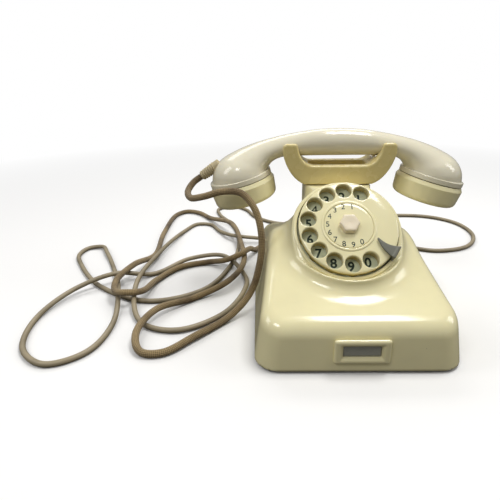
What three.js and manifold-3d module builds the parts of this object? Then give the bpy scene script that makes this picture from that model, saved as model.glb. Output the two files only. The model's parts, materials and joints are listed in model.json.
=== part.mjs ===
// Desk telephone with a rotary dial, in millimetres, +Z up, front towards -Y.
// The origin is on the table under the middle of the housing.
import * as THREE from 'three';
import { mergeVertices } from 'three/addons/utils/BufferGeometryUtils.js';
import Module from 'manifold-3d';

const wasm = await Module();
wasm.setup();

// ---------------------------------------------------------------- driving dimensions
const GAP = 0.3;                 // clearance between neighbouring pieces

const base = {
  halfWidth: 76, front: -93, rear: 94.5, corner: 18, bottom: 2, wall: 3,
  frontTop: 38.5, frontTopY: -84,  // top of the front lip and where it is
  ridgeTop: 69.5, ridgeY: 12,      // highest line of the sloping top
  rearTop: 50, ridgeInset: 14, frontInset: 3, rearInset: 8, shoulder: 9,
};
const tower = { halfWidth: 29.5, front: 25, rear: 69, corner: 10, top: 106, flare: 18, wall: 4 };
const foot = { radius: 9, height: 2, x: 55, frontY: -66, rearY: 66 };
const plate = { thickness: 2 };

const dial = {
  y: -22.6, z: 86.9, tilt: 44.5,   // middle of the finger wheel's face, and its slope
  wheel: 40, wheelThickness: 6.5, holeCircle: 32.3, hole: 6.5,
  firstHole: 23.7, holeStep: 25.6, holes: 10,
  boreGap: 1.2, collarWidth: 3.2, seatLip: 1.7, seat: -7.3, collarTop: -5.6,
  disc: 19.6, rim: 22.2, nut: 7.9, nutHeight: 5,
  plateDepth: -9.3, caseDepth: -30, caseRadius: 38, shaft: 2.8,
};
// What surrounds the wheel takes its radius from it.
dial.bore = dial.wheel + dial.boreGap;
dial.collar = dial.wheel + 2 * GAP + dial.collarWidth;
dial.seatRadius = dial.collar + dial.seatLip;
// The finger stop: where its wide outer end starts and ends, its pointed tip, and its height.
const stop = { from: 116.5, to: 129.5, tipAngle: 117.6, tip: 25, low: 0.6, high: 2.4 };
const frame = { halfWidth: 20, low: 9, high: 28.7, depth: 3.7, windowWidth: 27, windowHeight: 8.8 };

const handset = {
  y: 47, seamX: 88, seamZ: 108, tilt: 15, seamRadius: 28.4,
  cap: 30.5, capHeight: 20, capWall: 3, pocket: 24, capsule: 22, capsuleHeight: 9,
};
const cradle = { front: 29.5, rear: 64.5, bottom: 106.7, top: 143.3, floor: 124, outer: 50, inner: 37.3 };
const trough = { radius: 13.6, z: 141.6 };
const plunger = { radius: 3, x: 14, length: 30 };
const handsetCord = { diameter: 6 };
const lineCord = { diameter: 4.6 };
const rearOutlet = { z: 14, handsetX: -42, lineX: 42, radius: 4.2, length: 25.4 };

// ---------------------------------------------------------------- colours and materials
function finish(colour, roughness, metalness = 0) {
  return new THREE.MeshStandardMaterial({ color: colour, roughness, metalness });
}
const ivory = finish(0xf0e8c4, 0.22);
const ivoryPale = finish(0xe9e2cc, 0.2);
const ivoryWarm = finish(0xd9c585, 0.3);
const nutCream = finish(0xe6dac2, 0.35);
const plateGreen = finish(0xc7cfb9, 0.5);
const stopGrey = finish(0x6b6965, 0.45);
const steel = finish(0x9a9a98, 0.35, 0.9);
const brass = finish(0xb4975a, 0.35, 0.9);
const darkPlastic = finish(0x2c2a28, 0.5);
const bakelite = finish(0x4a2f1e, 0.4);
const rubber = finish(0x2a2826, 0.85);
const copper = finish(0x8a5a36, 0.5, 0.4);
const braidTan = finish(0x8a7350, 0.9);
const cableBeige = finish(0xc6b998, 0.6);
const paper = finish(0xb9b9ad, 0.9);
const glassGrey = finish(0x8b8d86, 0.15);

// ---------------------------------------------------------------- small geometry kit
const rad = THREE.MathUtils.degToRad;
const object = new THREE.Group();

function place(parent, name, geometry, material) {
  const mesh = new THREE.Mesh(geometry, material);
  mesh.name = name;
  parent.add(mesh);
  return mesh;
}

function welded(geometry) {
  const plain = geometry.clone();
  for (const key of Object.keys(plain.attributes)) {
    if (key !== 'position') plain.deleteAttribute(key);
  }
  return mergeVertices(plain, 1e-4);
}

function solid(geometry) {
  const g = welded(geometry);
  return new wasm.Manifold(new wasm.Mesh({
    numProp: 3,
    vertProperties: new Float32Array(g.attributes.position.array),
    triVerts: new Uint32Array(g.index.array),
  }));
}

function surface(body) {
  const mesh = body.getMesh();
  const g = new THREE.BufferGeometry();
  g.setAttribute('position', new THREE.BufferAttribute(new Float32Array(mesh.vertProperties), 3));
  g.setIndex(new THREE.BufferAttribute(new Uint32Array(mesh.triVerts), 1));
  g.computeVertexNormals();
  return g;
}

// A closed solid through rings of equal length, with a flat fan at each end.
function loft(rings) {
  const n = rings[0].length;
  const points = rings.flat();
  const index = [];
  for (let k = 0; k + 1 < rings.length; k += 1) {
    for (let j = 0; j < n; j += 1) {
      const a = k * n + j;
      const b = k * n + ((j + 1) % n);
      index.push(a, b, b + n, a, b + n, a + n);
    }
  }
  const ends = [[0, true], [(rings.length - 1) * n, false]];
  for (const [start, flip] of ends) {
    const middle = new THREE.Vector3();
    for (let j = 0; j < n; j += 1) middle.add(points[start + j]);
    points.push(middle.divideScalar(n));
    for (let j = 0; j < n; j += 1) {
      const a = start + j;
      const b = start + ((j + 1) % n);
      if (flip) index.push(points.length - 1, b, a);
      else index.push(points.length - 1, a, b);
    }
  }
  const g = new THREE.BufferGeometry();
  g.setFromPoints(points);
  g.setIndex(index);
  return g;
}

// Solid of revolution about +Z from [radius, height] pairs that start and end on the axis.
function turned(profile, segments = 32) {
  const g = new THREE.LatheGeometry(profile.map(([r, z]) => new THREE.Vector2(r, z)), segments);
  return g.rotateX(Math.PI / 2);
}

function disc(radius, low, high, segments = 32) {
  return turned([[0, low], [radius, low], [radius, high], [0, high]], segments);
}

// Ring of revolution about +Z; its section closes on itself.
function ring(inner, outer, low, high, segments = 40) {
  return turned([[inner, low], [outer, low], [outer, high], [inner, high], [inner, low]], segments);
}

function box(x0, x1, y0, y1, z0, z1) {
  const g = new THREE.BoxGeometry(x1 - x0, y1 - y0, z1 - z0);
  return g.translate((x0 + x1) / 2, (y0 + y1) / 2, (z0 + z1) / 2);
}

// Outline of a rounded rectangle, counter-clockwise from above, as [x, y, outX, outY].
function roundedOutline(halfWidth, y0, y1, corner, perCorner, perSide) {
  const out = [];
  const centres = [
    [halfWidth - corner, y1 - corner, 0], [-halfWidth + corner, y1 - corner, 90],
    [-halfWidth + corner, y0 + corner, 180], [halfWidth - corner, y0 + corner, 270],
  ];
  centres.forEach(([cx, cy, turn], k) => {
    for (let j = 0; j <= perCorner; j += 1) {
      const a = rad(turn + (90 * j) / perCorner);
      out.push([cx + corner * Math.cos(a), cy + corner * Math.sin(a), Math.cos(a), Math.sin(a)]);
    }
    const last = out[out.length - 1];
    const [nx, ny, turnNext] = centres[(k + 1) % 4];
    const b = rad(turnNext);
    const next = [nx + corner * Math.cos(b), ny + corner * Math.sin(b)];
    for (let j = 1; j < perSide; j += 1) {
      const t = j / perSide;
      out.push([last[0] + (next[0] - last[0]) * t, last[1] + (next[1] - last[1]) * t, last[2], last[3]]);
    }
  });
  return out;
}

// ---------------------------------------------------------------- housing
const frontSlope = (base.ridgeTop - base.frontTop) / (base.ridgeY - base.frontTopY);
const rearSlope = (base.rearTop - base.ridgeTop) / (base.rear - base.ridgeY);

// Height of the sloping top: two planes that meet in a soft ridge.
function topHeight(y) {
  const soft = 10;
  const t = y - base.ridgeY;
  const rise = frontSlope * Math.min(t, 0) + rearSlope * Math.max(t, 0);
  const round = Math.abs(t) < soft ? ((frontSlope - rearSlope) * (soft - Math.abs(t)) ** 2) / (4 * soft) : 0;
  return base.ridgeTop + rise - round;
}

// How far the ridge along the top edge stands in from the foot of the wall.
function topInset(y) {
  const t = y - base.ridgeY;
  const far = t < 0 ? base.frontInset : base.rearInset;
  const span = t < 0 ? base.ridgeY - base.front : base.rear - base.ridgeY;
  const s = Math.min(Math.abs(t) / span, 1);
  return base.ridgeInset + (far - base.ridgeInset) * s ** 1.3;
}

// The wedge-shaped body: wall, rounded shoulder and sloping top. `shrink` makes the cavity.
function wedge(shrink, perCorner, perSide, shoulderSteps) {
  const outline = roundedOutline(base.halfWidth - shrink, base.front + shrink, base.rear - shrink,
    base.corner - shrink, perCorner, perSide);
  const radius = base.shoulder - shrink * 0.6;
  const low = shrink ? base.bottom - 2 : base.bottom;
  const rings = [];
  const columns = outline.map(([x, y, nx, ny]) => {
    const inset = topInset(y);
    const top = topHeight(y + ny * inset * -1) - shrink;
    return { x, y, nx, ny, inset, top };
  });
  const wallAt = (c, s) => {
    const z = low + (c.top - radius - low) * s;
    const d = (c.inset * (z - base.bottom)) / (c.top - base.bottom);
    return new THREE.Vector3(c.x - c.nx * d, c.y - c.ny * d, z);
  };
  for (const s of [0, 0.5, 1]) rings.push(columns.map((c) => wallAt(c, s)));
  for (let k = 1; k <= shoulderSteps; k += 1) {
    const a = ((Math.PI / 2) * k) / shoulderSteps;
    rings.push(columns.map((c) => {
      const foot0 = wallAt(c, 1);
      const inward = radius * (1 - Math.cos(a)) * 1.15;
      const x = foot0.x - c.nx * inward;
      const y = foot0.y - c.ny * inward;
      const edge = foot0.z + radius * Math.sin(a);
      const t = k / shoulderSteps;
      return new THREE.Vector3(x, y, edge * (1 - t) + Math.min(topHeight(y) - shrink, edge + 3) * t);
    }));
  }
  const rim = rings[rings.length - 1];
  for (const s of [0.3, 0.62, 0.9]) {
    rings.push(rim.map((p) => {
      const y = p.y * (1 - s) + base.ridgeY * s;
      return new THREE.Vector3(p.x * (1 - s), y, topHeight(y) - shrink);
    }));
  }
  return solid(loft(rings));
}

const dialUp = new THREE.Vector3(0, Math.cos(rad(dial.tilt)), Math.sin(rad(dial.tilt)));
const dialOut = new THREE.Vector3(0, -Math.sin(rad(dial.tilt)), Math.cos(rad(dial.tilt)));
const dialCentre = new THREE.Vector3(0, dial.y, dial.z);

function onDial(angle, radius, height) {
  const p = dialCentre.clone().addScaledVector(dialOut, height);
  p.addScaledVector(dialUp, radius * Math.cos(angle));
  p.x += radius * Math.sin(angle);
  return p;
}

// Raised seat of the dial, sweeping down into the sloping top.
function dialMound() {
  const steps = 48;
  const rings = [[], [], [], [], [], [], [], []];
  for (let j = 0; j < steps; j += 1) {
    const a = (-2 * Math.PI * j) / steps;
    const rim = onDial(a, dial.seatRadius, dial.seat);
    const out = new THREE.Vector2(Math.sin(a), Math.cos(a) / Math.cos(rad(dial.tilt))).normalize();
    const reach = 13 + 7 * (1 + Math.cos(a)) ** 2 * 0.5;
    rings[7].push(rim);
    [0.08, 0.2, 0.36, 0.56, 0.78, 1].forEach((s, k) => {
      const x = rim.x + out.x * reach * s;
      const y = rim.y + out.y * reach * s;
      const ground = topHeight(y) - 1.2;
      const rise = Math.max(rim.z - ground, 0.5);
      rings[6 - k].push(new THREE.Vector3(x, y, ground + rise * (1 - s) ** 2.2));
    });
    const last = rings[1][rings[1].length - 1];
    rings[0].push(new THREE.Vector3(last.x * 0.98, last.y, 36));
  }
  return solid(loft(rings));
}

// The neck that carries the cradle, flaring out at its foot.
function neck() {
  const outline = roundedOutline(tower.halfWidth, tower.front, tower.rear, tower.corner, 4, 3);
  const rings = [];
  rings.push(outline.map(([x, y, nx, ny]) => {
    const f = tower.flare;
    return new THREE.Vector3(x + nx * f, y + ny * f, 36);
  }));
  for (const s of [1, 0.72, 0.5, 0.32, 0.18, 0.08, 0]) {
    rings.push(outline.map(([x, y, nx, ny]) => {
      const px = x + nx * tower.flare * s;
      const py = y + ny * tower.flare * s;
      const ground = topHeight(py) - 1.2;
      return new THREE.Vector3(px, py, ground + (tower.top - 2 - ground) * (1 - s) ** 2);
    }));
  }
  rings.push(outline.map(([x, y, nx, ny]) => new THREE.Vector3(x - nx * 1.2, y - ny * 1.2, tower.top)));
  return solid(loft(rings));
}

// Fills the valley between the top of the dial seat and the neck.
function bridge() {
  const levels = [[36, 34, -4], [62, 33, -2], [84, 30, 0], [98, 27.5, 2], [106, 25, 8.5], [110, 21, 12]];
  const rings = levels.map(([z, halfWidth, front]) => {
    const rear = z > 98 ? 33 - (z - 98) : 33;
    const outline = roundedOutline(halfWidth, front, rear, 4, 3, 1);
    return outline.map(([x, y]) => new THREE.Vector3(x, y, z));
  });
  return solid(loft(rings));
}

function dialPlaced(geometry) {
  return geometry.rotateX(rad(dial.tilt)).translate(0, dial.y, dial.z);
}

function along(geometry, x, y, z) {
  return geometry.translate(x, y, z);
}

function makeHousing() {
  let shell = wedge(0, 5, 4, 4).add(dialMound()).add(neck()).add(bridge());
  const cavity = wedge(base.wall, 3, 3, 2);
  const t = tower.wall;
  const shaft = roundedOutline(tower.halfWidth - t, tower.front + t, tower.rear - t, tower.corner - t, 2, 1);
  const levels = [20, tower.top - t];
  const neckCavity = solid(loft(levels.map((z) => shaft.map(([x, y]) => new THREE.Vector3(x, y, z)))));
  shell = shell.subtract(cavity).subtract(neckCavity);
  shell = shell.subtract(solid(dialPlaced(disc(dial.bore, -52, 12, 48))));
  shell = shell.subtract(solid(dialPlaced(disc(dial.collar + GAP, dial.seat + GAP / 2, 12, 60))));
  for (const side of [-1, 1]) {
    const hole = along(disc(plunger.radius + 0.6, 0, 20, 16), side * plunger.x, handset.y, tower.top - 10);
    shell = shell.subtract(solid(hole));
  }
  for (const x of [rearOutlet.handsetX, rearOutlet.lineX]) {
    const hole = disc(rearOutlet.radius + GAP, -20, 20, 16).rotateX(Math.PI / 2);
    shell = shell.subtract(solid(along(hole, x, base.rear, rearOutlet.z)));
  }
  const recess = box(-frame.halfWidth - GAP, frame.halfWidth + GAP, base.front - 10, base.front + 2.5,
    frame.low - GAP, frame.high + GAP);
  return surface(shell.subtract(solid(recess)));
}
place(object, 'housing', makeHousing(), ivory);

// Base plate, feet and the screws that hold the plate, which lies on the feet.
const plateBottom = Math.max(base.bottom, foot.height) + GAP;
const plateTop = plateBottom + plate.thickness;
function makeBasePlate() {
  const inset = base.wall + 1.7;
  const outline = roundedOutline(base.halfWidth - inset, base.front + inset, base.rear - inset,
    base.corner - inset, 4, 1);
  return loft([plateBottom, plateTop].map((z) => outline.map(([x, y]) => new THREE.Vector3(x, y, z))));
}
place(object, 'base_plate', makeBasePlate(), steel);
for (const [end, y] of [['front', foot.frontY], ['rear', foot.rearY]]) {
  for (const [side, x] of [['left', -foot.x], ['right', foot.x]]) {
    const g = turned([[0, 0], [foot.radius - 1, 0], [foot.radius, 1], [foot.radius, foot.height],
      [0, foot.height]], 24);
    place(object, `foot_${end}_${side}`, along(g, x, y, 0), rubber);
  }
}
for (const [side, x] of [['left', -1], ['right', 1]]) {
  const screw = turned([[0, -1.4], [3.4, -1.4], [3.6, -1], [3.6, 0], [0, 0]], 16);
  place(object, `base_screw_${side}`, along(screw, x * 30, 0, plateBottom - GAP), steel);
}

// ---------------------------------------------------------------- card holder on the front wall
const cardBack = base.front + 2.5 - GAP;
function makeCardFrame() {
  const front = cardBack - frame.depth;
  const body = solid(box(-frame.halfWidth, frame.halfWidth, front, cardBack, frame.low, frame.high));
  const middle = (frame.low + frame.high) / 2;
  const w = frame.windowWidth / 2;
  const h = frame.windowHeight / 2;
  const opening = solid(loft([[cardBack + 1, 0], [front + 1.6, 0], [front - 0.5, 2.2]].map(([y, grow]) => [
    new THREE.Vector3(-w - grow, y, middle - h - grow), new THREE.Vector3(-w - grow, y, middle + h + grow),
    new THREE.Vector3(w + grow, y, middle + h + grow), new THREE.Vector3(w + grow, y, middle - h - grow),
  ].reverse())));
  return surface(body.subtract(opening));
}
const cardMiddle = (frame.low + frame.high) / 2;
const cardHalf = [frame.windowWidth / 2 - GAP, frame.windowHeight / 2 - GAP];
place(object, 'card_frame', makeCardFrame(), ivory);
place(object, 'name_card', box(-cardHalf[0], cardHalf[0], cardBack - 0.5, cardBack - 0.1,
  cardMiddle - cardHalf[1], cardMiddle + cardHalf[1]), paper);
place(object, 'card_window', box(-cardHalf[0], cardHalf[0], cardBack - 1.8, cardBack - 0.9,
  cardMiddle - cardHalf[1], cardMiddle + cardHalf[1]), glassGrey);

// ---------------------------------------------------------------- dial
const dialGroup = new THREE.Group();
dialGroup.position.set(0, dial.y, dial.z);
dialGroup.rotation.x = rad(dial.tilt);
object.add(dialGroup);

// Point on the dial, with the angle clockwise from the top as seen from the front.
function polar(angle, radius) {
  return [radius * Math.sin(rad(angle)), radius * Math.cos(rad(angle))];
}

function makeFingerWheel() {
  const t = dial.wheelThickness;
  let wheel = solid(turned([[0, -t], [dial.wheel - 0.5, -t], [dial.wheel, -t + 0.6], [dial.wheel, -1],
    [dial.wheel - 1.2, 0], [dial.rim, 0], [dial.rim - 0.4, 1], [dial.disc + 0.5, 1],
    [dial.disc + 0.4, -0.2], [0, -0.2]], 60));
  for (let k = 0; k < dial.holes; k += 1) {
    const [x, y] = polar(dial.firstHole - k * dial.holeStep, dial.holeCircle);
    wheel = wheel.subtract(solid(along(disc(dial.hole, -t - 1, 1, 20), x, y, 0)));
  }
  return surface(wheel);
}
place(dialGroup, 'finger_wheel', makeFingerWheel(), ivory);
place(dialGroup, 'number_disc', disc(dial.disc, 0.1, 0.9, 40), ivory);
const nut = turned([[0, 0], [dial.nut, 0], [dial.nut, dial.nutHeight - 0.8], [dial.nut - 1.2, dial.nutHeight],
  [0, dial.nutHeight]], 6).rotateZ(Math.PI / 2);
place(dialGroup, 'disc_clamp_nut', along(nut, 0, 0, 0.9 + GAP), nutCream);
const collar = ring(dial.wheel + 2 * GAP, dial.collar, dial.seat + GAP, dial.collarTop, 60);
place(dialGroup, 'collar', collar, ivory);
const plateTopH = dial.plateDepth;
place(dialGroup, 'number_plate', ring(14, dial.bore - 0.7, plateTopH - 1, plateTopH, 48), plateGreen);

function makeDialCase() {
  const low = dial.caseDepth;
  const top = plateTopH - 1 - GAP;
  const r = dial.caseRadius;
  return turned([[dial.shaft + 0.5, low], [r, low], [r, top], [r - 2, top], [r - 2, low + 2],
    [dial.shaft + 0.5, low + 2], [dial.shaft + 0.5, low]], 40);
}
place(dialGroup, 'dial_case', makeDialCase(), steel);
const shaftTop = -dial.wheelThickness - GAP;
place(dialGroup, 'main_shaft', disc(dial.shaft, dial.caseDepth - 4, shaftTop, 20), steel);

function toothed(outer, root, teeth, bore, low, high) {
  const shape = new THREE.Shape();
  for (let k = 0; k < teeth * 4; k += 1) {
    const a = (2 * Math.PI * (k + 0.5)) / (teeth * 4);
    const r = k % 4 < 2 ? outer : root;
    if (k === 0) shape.moveTo(r * Math.cos(a), r * Math.sin(a));
    else shape.lineTo(r * Math.cos(a), r * Math.sin(a));
  }
  const hole = new THREE.Path();
  hole.absarc(0, 0, bore, 0, 2 * Math.PI, true);
  shape.holes.push(hole);
  const g = new THREE.ExtrudeGeometry(shape, { depth: high - low, bevelEnabled: false, curveSegments: 8 });
  return g.translate(0, 0, low);
}
const gearLow = dial.caseDepth + 4;
place(dialGroup, 'main_gear', toothed(17, 15.4, 30, dial.shaft + GAP, gearLow, gearLow + 2.4), brass);
place(dialGroup, 'return_spring', ring(dial.shaft + 0.8, 7.5, gearLow + 4, gearLow + 10, 28), steel);

const pinionAt = [22.5, -8];
const pinion = toothed(6.2, 4.8, 10, 1.3, gearLow - 0.2, gearLow + 2.6);
place(dialGroup, 'pulse_pinion', along(pinion, pinionAt[0], pinionAt[1], 0), brass);
const cam = toothed(6.5, 3.6, 3, 1.3, gearLow + 4, gearLow + 5.6);
place(dialGroup, 'pulse_cam', along(cam, pinionAt[0], pinionAt[1], 0), bakelite);
const arbor = disc(1, dial.caseDepth + 2.4, gearLow + 8, 12);
place(dialGroup, 'pulse_arbor', along(arbor, pinionAt[0], pinionAt[1], 0), steel);
const governorAt = [-24, 4];
const spindle = disc(1.2, dial.caseDepth + 2.4, gearLow + 12, 12);
place(dialGroup, 'governor_spindle', along(spindle, ...governorAt, 0), steel);
for (const [side, s] of [['a', -1], ['b', 1]]) {
  const weight = box(-1.5, 1.5, s > 0 ? 1.6 : -6, s > 0 ? 6 : -1.6, gearLow + 4, gearLow + 9);
  place(dialGroup, `governor_weight_${side}`, along(weight, ...governorAt, 0), brass);
}
place(dialGroup, 'pulse_contacts', box(13, 27, 13, 22, gearLow, gearLow + 10), darkPlastic);

// Slab between two heights with the outline of a shape.
function slab(shape, low, high) {
  const g = new THREE.ExtrudeGeometry(shape, { depth: high - low, bevelEnabled: false, curveSegments: 8 });
  return g.translate(0, 0, low);
}

// Finger stop: a pointed claw over the wheel, on a foot that stands on the collar.
function makeFingerStop() {
  const outer = dial.collar - 0.4;
  const claw = new THREE.Shape();
  claw.moveTo(...polar(stop.to, outer));
  claw.quadraticCurveTo(...polar(stop.to - 2, stop.tip + 7), ...polar(stop.tipAngle + 2.5, stop.tip + 0.3));
  claw.lineTo(...polar(stop.tipAngle, stop.tip));
  claw.quadraticCurveTo(...polar(stop.from + 2.5, stop.tip + 9), ...polar(stop.from, outer));
  claw.closePath();
  const inner = dial.wheel + 2 * GAP;
  const standing = new THREE.Shape();
  standing.moveTo(...polar(stop.to, inner));
  standing.lineTo(...polar(stop.to, outer));
  standing.lineTo(...polar(stop.from, outer));
  standing.lineTo(...polar(stop.from, inner));
  standing.closePath();
  const stand = solid(slab(standing, dial.collarTop + GAP, stop.high));
  return surface(solid(slab(claw, stop.low, stop.high)).add(stand));
}
place(dialGroup, 'finger_stop', makeFingerStop(), stopGrey);

// ---------------------------------------------------------------- cradle and its switch
function makeCradle() {
  const c = cradle;
  const shape = new THREE.Shape();
  shape.moveTo(30, c.bottom);
  shape.bezierCurveTo(42, c.bottom + 4, c.outer - 1, c.top - 17, c.outer, c.top - 8);
  shape.lineTo(c.outer, c.top - 2);
  shape.quadraticCurveTo(c.outer, c.top, c.outer - 2, c.top);
  shape.lineTo(c.inner + 2.5, c.top);
  shape.quadraticCurveTo(c.inner, c.top, c.inner - 0.3, c.top - 3);
  shape.bezierCurveTo(c.inner - 2, c.floor + 7, c.inner - 7, c.floor, 22, c.floor);
  shape.lineTo(-22, c.floor);
  shape.bezierCurveTo(-c.inner + 7, c.floor, -c.inner + 2, c.floor + 7, -c.inner + 0.3, c.top - 3);
  shape.quadraticCurveTo(-c.inner, c.top, -c.inner - 2.5, c.top);
  shape.lineTo(-c.outer + 2, c.top);
  shape.quadraticCurveTo(-c.outer, c.top, -c.outer, c.top - 2);
  shape.lineTo(-c.outer, c.top - 8);
  shape.bezierCurveTo(-c.outer + 1, c.top - 17, -42, c.bottom + 4, -30, c.bottom);
  shape.closePath();
  const g = slab(shape, 0, c.rear - c.front).rotateX(Math.PI / 2).translate(0, c.rear, 0);
  const rest = disc(trough.radius, -60, 60, 28).rotateY(Math.PI / 2);
  const slot = box(-60, 60, handset.y - trough.radius, handset.y + trough.radius, trough.z, c.top + 10);
  const pocket = box(-26, 26, c.front + 8, c.rear - 8, c.floor - 9, c.top);
  let body = solid(g).subtract(solid(along(rest, 0, handset.y, trough.z)));
  body = body.subtract(solid(slot)).subtract(solid(pocket));
  return surface(body);
}
place(object, 'cradle', makeCradle(), ivoryWarm);
const plungerTop = cradle.bottom - GAP;
for (const [side, s] of [['left', -1], ['right', 1]]) {
  const rod = disc(plunger.radius, plungerTop - plunger.length, plungerTop, 16);
  place(object, `cradle_plunger_${side}`, along(rod, s * plunger.x, handset.y, 0), steel);
}
const rodFoot = plungerTop - plunger.length;
const leverTop = rodFoot - GAP;
place(object, 'hook_lever', box(-18, 18, handset.y - 20, handset.y + 4, leverTop - 1.6, leverTop), steel);
const leverPin = disc(1.4, -16, 16, 12).rotateY(Math.PI / 2);
place(object, 'hook_lever_pin', along(leverPin, 0, handset.y - 18, leverTop - 3.4), steel);
const hookSpring = ring(1.6, 3.6, 58, leverTop - 2.1, 20);
place(object, 'hook_spring', along(hookSpring, 0, handset.y - 4, 0), steel);
place(object, 'hook_contacts', box(-12, 12, handset.y - 12, handset.y + 4, 50, 57.5), darkPlastic);

// ---------------------------------------------------------------- ringer and circuit parts
const ringer = { y: 34, gongX: 30, gong: 25, gongZ: 17, coil: 8, coilX: 11 };
for (const [side, s] of [['left', -1], ['right', 1]]) {
  const r = ringer.gong;
  const bowl = turned([[2.2, 8], [r - 9, 8], [r - 1.6, 0], [r, 0], [r - 7.6, 9.6], [2.2, 9.6], [2.2, 8]], 32);
  place(object, `gong_${side}`, along(bowl, s * ringer.gongX, ringer.y, ringer.gongZ), brass);
  const post = disc(1.9, plateTop + GAP, ringer.gongZ + 13, 14);
  place(object, `gong_post_${side}`, along(post, s * ringer.gongX, ringer.y, 0), steel);
  const coil = disc(ringer.coil, 0, 26, 24).rotateX(Math.PI / 2);
  place(object, `ringer_coil_${side}`, along(coil, s * ringer.coilX, 0, 16), copper);
}
place(object, 'ringer_yoke', box(-22, 22, GAP, 3, plateTop + GAP, 27), steel);
function makeClapper() {
  const arm = solid(box(-1, 1, 4, ringer.y - 4, 21, 23));
  const ball = solid(along(new THREE.SphereGeometry(3.2, 16, 10), 0, ringer.y - 3, 22));
  return surface(arm.add(ball));
}
place(object, 'clapper', makeClapper(), brass);
place(object, 'capacitor', box(-58, -34, -58, -10, plateTop + GAP, 26), steel);
place(object, 'induction_coil', box(-26, 10, -70, -46, plateTop + GAP, 28), copper);
place(object, 'terminal_strip', box(-34, 34, 66, 78, plateTop + GAP, 17), bakelite);

// ---------------------------------------------------------------- handset
const handsetGland = {
  from: [-107.5, handset.y, 123], to: [-124.9, handset.y, 111.65], wide: 5.2, narrow: 3.9,
};
function taper(from, to, wide, narrow) {
  const a = new THREE.Vector3(...from);
  const b = new THREE.Vector3(...to);
  const length = a.distanceTo(b);
  const g = turned([[0, 0], [wide, 0], [wide * 0.97, length * 0.25], [narrow, length], [0, length]], 20);
  const direction = b.clone().sub(a).normalize();
  const turn = new THREE.Quaternion().setFromUnitVectors(new THREE.Vector3(0, 0, 1), direction);
  return g.applyQuaternion(turn).translate(a.x, a.y, a.z);
}

// Upper and lower edge of the handset from its middle to one end, with its half width there.
const handsetSections = [
  [0, 154.3, 0, 130.4, 11.6], [18, 153.6, 18, 130.4, 11.5], [36, 151.2, 36, 130.1, 11.4],
  [56, 147.2, 49, 129.4, 12.2], [76, 141.6, 57, 126.6, 15.5], [95, 133.6, 61.3, 122.6, 21],
  [107.5, 125.5, 62.8, 119.6, 25.6], [113.6, 115.5, 62.4, 117.4, 27.8], [115.4, 101, 60.6, 115.4, 28.4],
];

function handsetRing([tx, tz, bx, bz, half], side) {
  const steps = 28;
  const out = [];
  for (let j = 0; j < steps; j += 1) {
    const a = (2 * Math.PI * j) / steps;
    const m = (1 + Math.cos(a)) / 2;
    const x = side * (bx + (tx - bx) * m);
    out.push(new THREE.Vector3(x, handset.y - half * Math.sin(a), bz + (tz - bz) * m));
  }
  return out;
}

// Puts a piece, made about +Z with its face at the bottom, on the seam of one end.
function onSeam(geometry, side) {
  return geometry.rotateY(rad(side * handset.tilt)).translate(side * handset.seamX, handset.y, handset.seamZ);
}

function makeHandsetShell() {
  const left = handsetSections.slice(1).reverse().map((s) => handsetRing(s, -1));
  const right = handsetSections.map((s) => handsetRing(s, 1));
  let body = solid(loft([...left, ...right]));
  for (const side of [-1, 1]) {
    body = body.subtract(solid(onSeam(disc(handset.pocket, -4, 12, 32), side)));
  }
  const socket = taper(handsetGland.from, handsetGland.to, handsetGland.wide + GAP, handsetGland.wide + GAP);
  return surface(body.subtract(solid(socket.translate(GAP, 0, GAP / 2))));
}
place(object, 'handset_shell', makeHandsetShell(), ivoryPale);

function makeCap() {
  const r = handset.cap;
  const h = -handset.capHeight;
  const w = handset.capWall;
  let cap = solid(turned([[0, h], [r - 6, h], [r - 3, h + 1.2], [r - 1.2, h + 5], [r, -3.5],
    [handset.seamRadius, -0.4], [handset.pocket + 1, -0.4], [handset.pocket + 1, h + w + 4], [r - 7, h + w],
    [0, h + w]], 40));
  for (let k = 0; k < 7; k += 1) {
    const [x, y] = k ? polar(60 * k, 9) : [0, 0];
    cap = cap.subtract(solid(along(disc(1.8, h - 2, h + w + 2, 10), x, y, 0)));
  }
  return surface(cap);
}
const capsule = () => turned([[0, 0], [16, 0], [handset.capsule, 3], [handset.capsule, handset.capsuleHeight],
  [0, handset.capsuleHeight]], 28).translate(0, 0, -handset.capHeight + handset.capWall + 2);
for (const [name, inner, side] of [['mouthpiece', 'transmitter', -1], ['earpiece', 'receiver', 1]]) {
  place(object, `${name}_cap`, onSeam(makeCap(), side), ivory);
  place(object, `${inner}_capsule`, onSeam(capsule(), side), steel);
}

// ---------------------------------------------------------------- cords and their glands
const relief = taper(handsetGland.from, handsetGland.to, handsetGland.wide, handsetGland.narrow);
place(object, 'handset_gland', relief, cableBeige);
for (const [name, x, wide] of [['handset', rearOutlet.handsetX, rearOutlet.radius],
  ['line', rearOutlet.lineX, rearOutlet.radius]]) {
  const from = [x, base.rear - 6, rearOutlet.z];
  const to = [x, base.rear - 6 + rearOutlet.length, rearOutlet.z];
  place(object, `${name}_outlet_gland`, taper(from, to, wide, 3.4), cableBeige);
}

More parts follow.
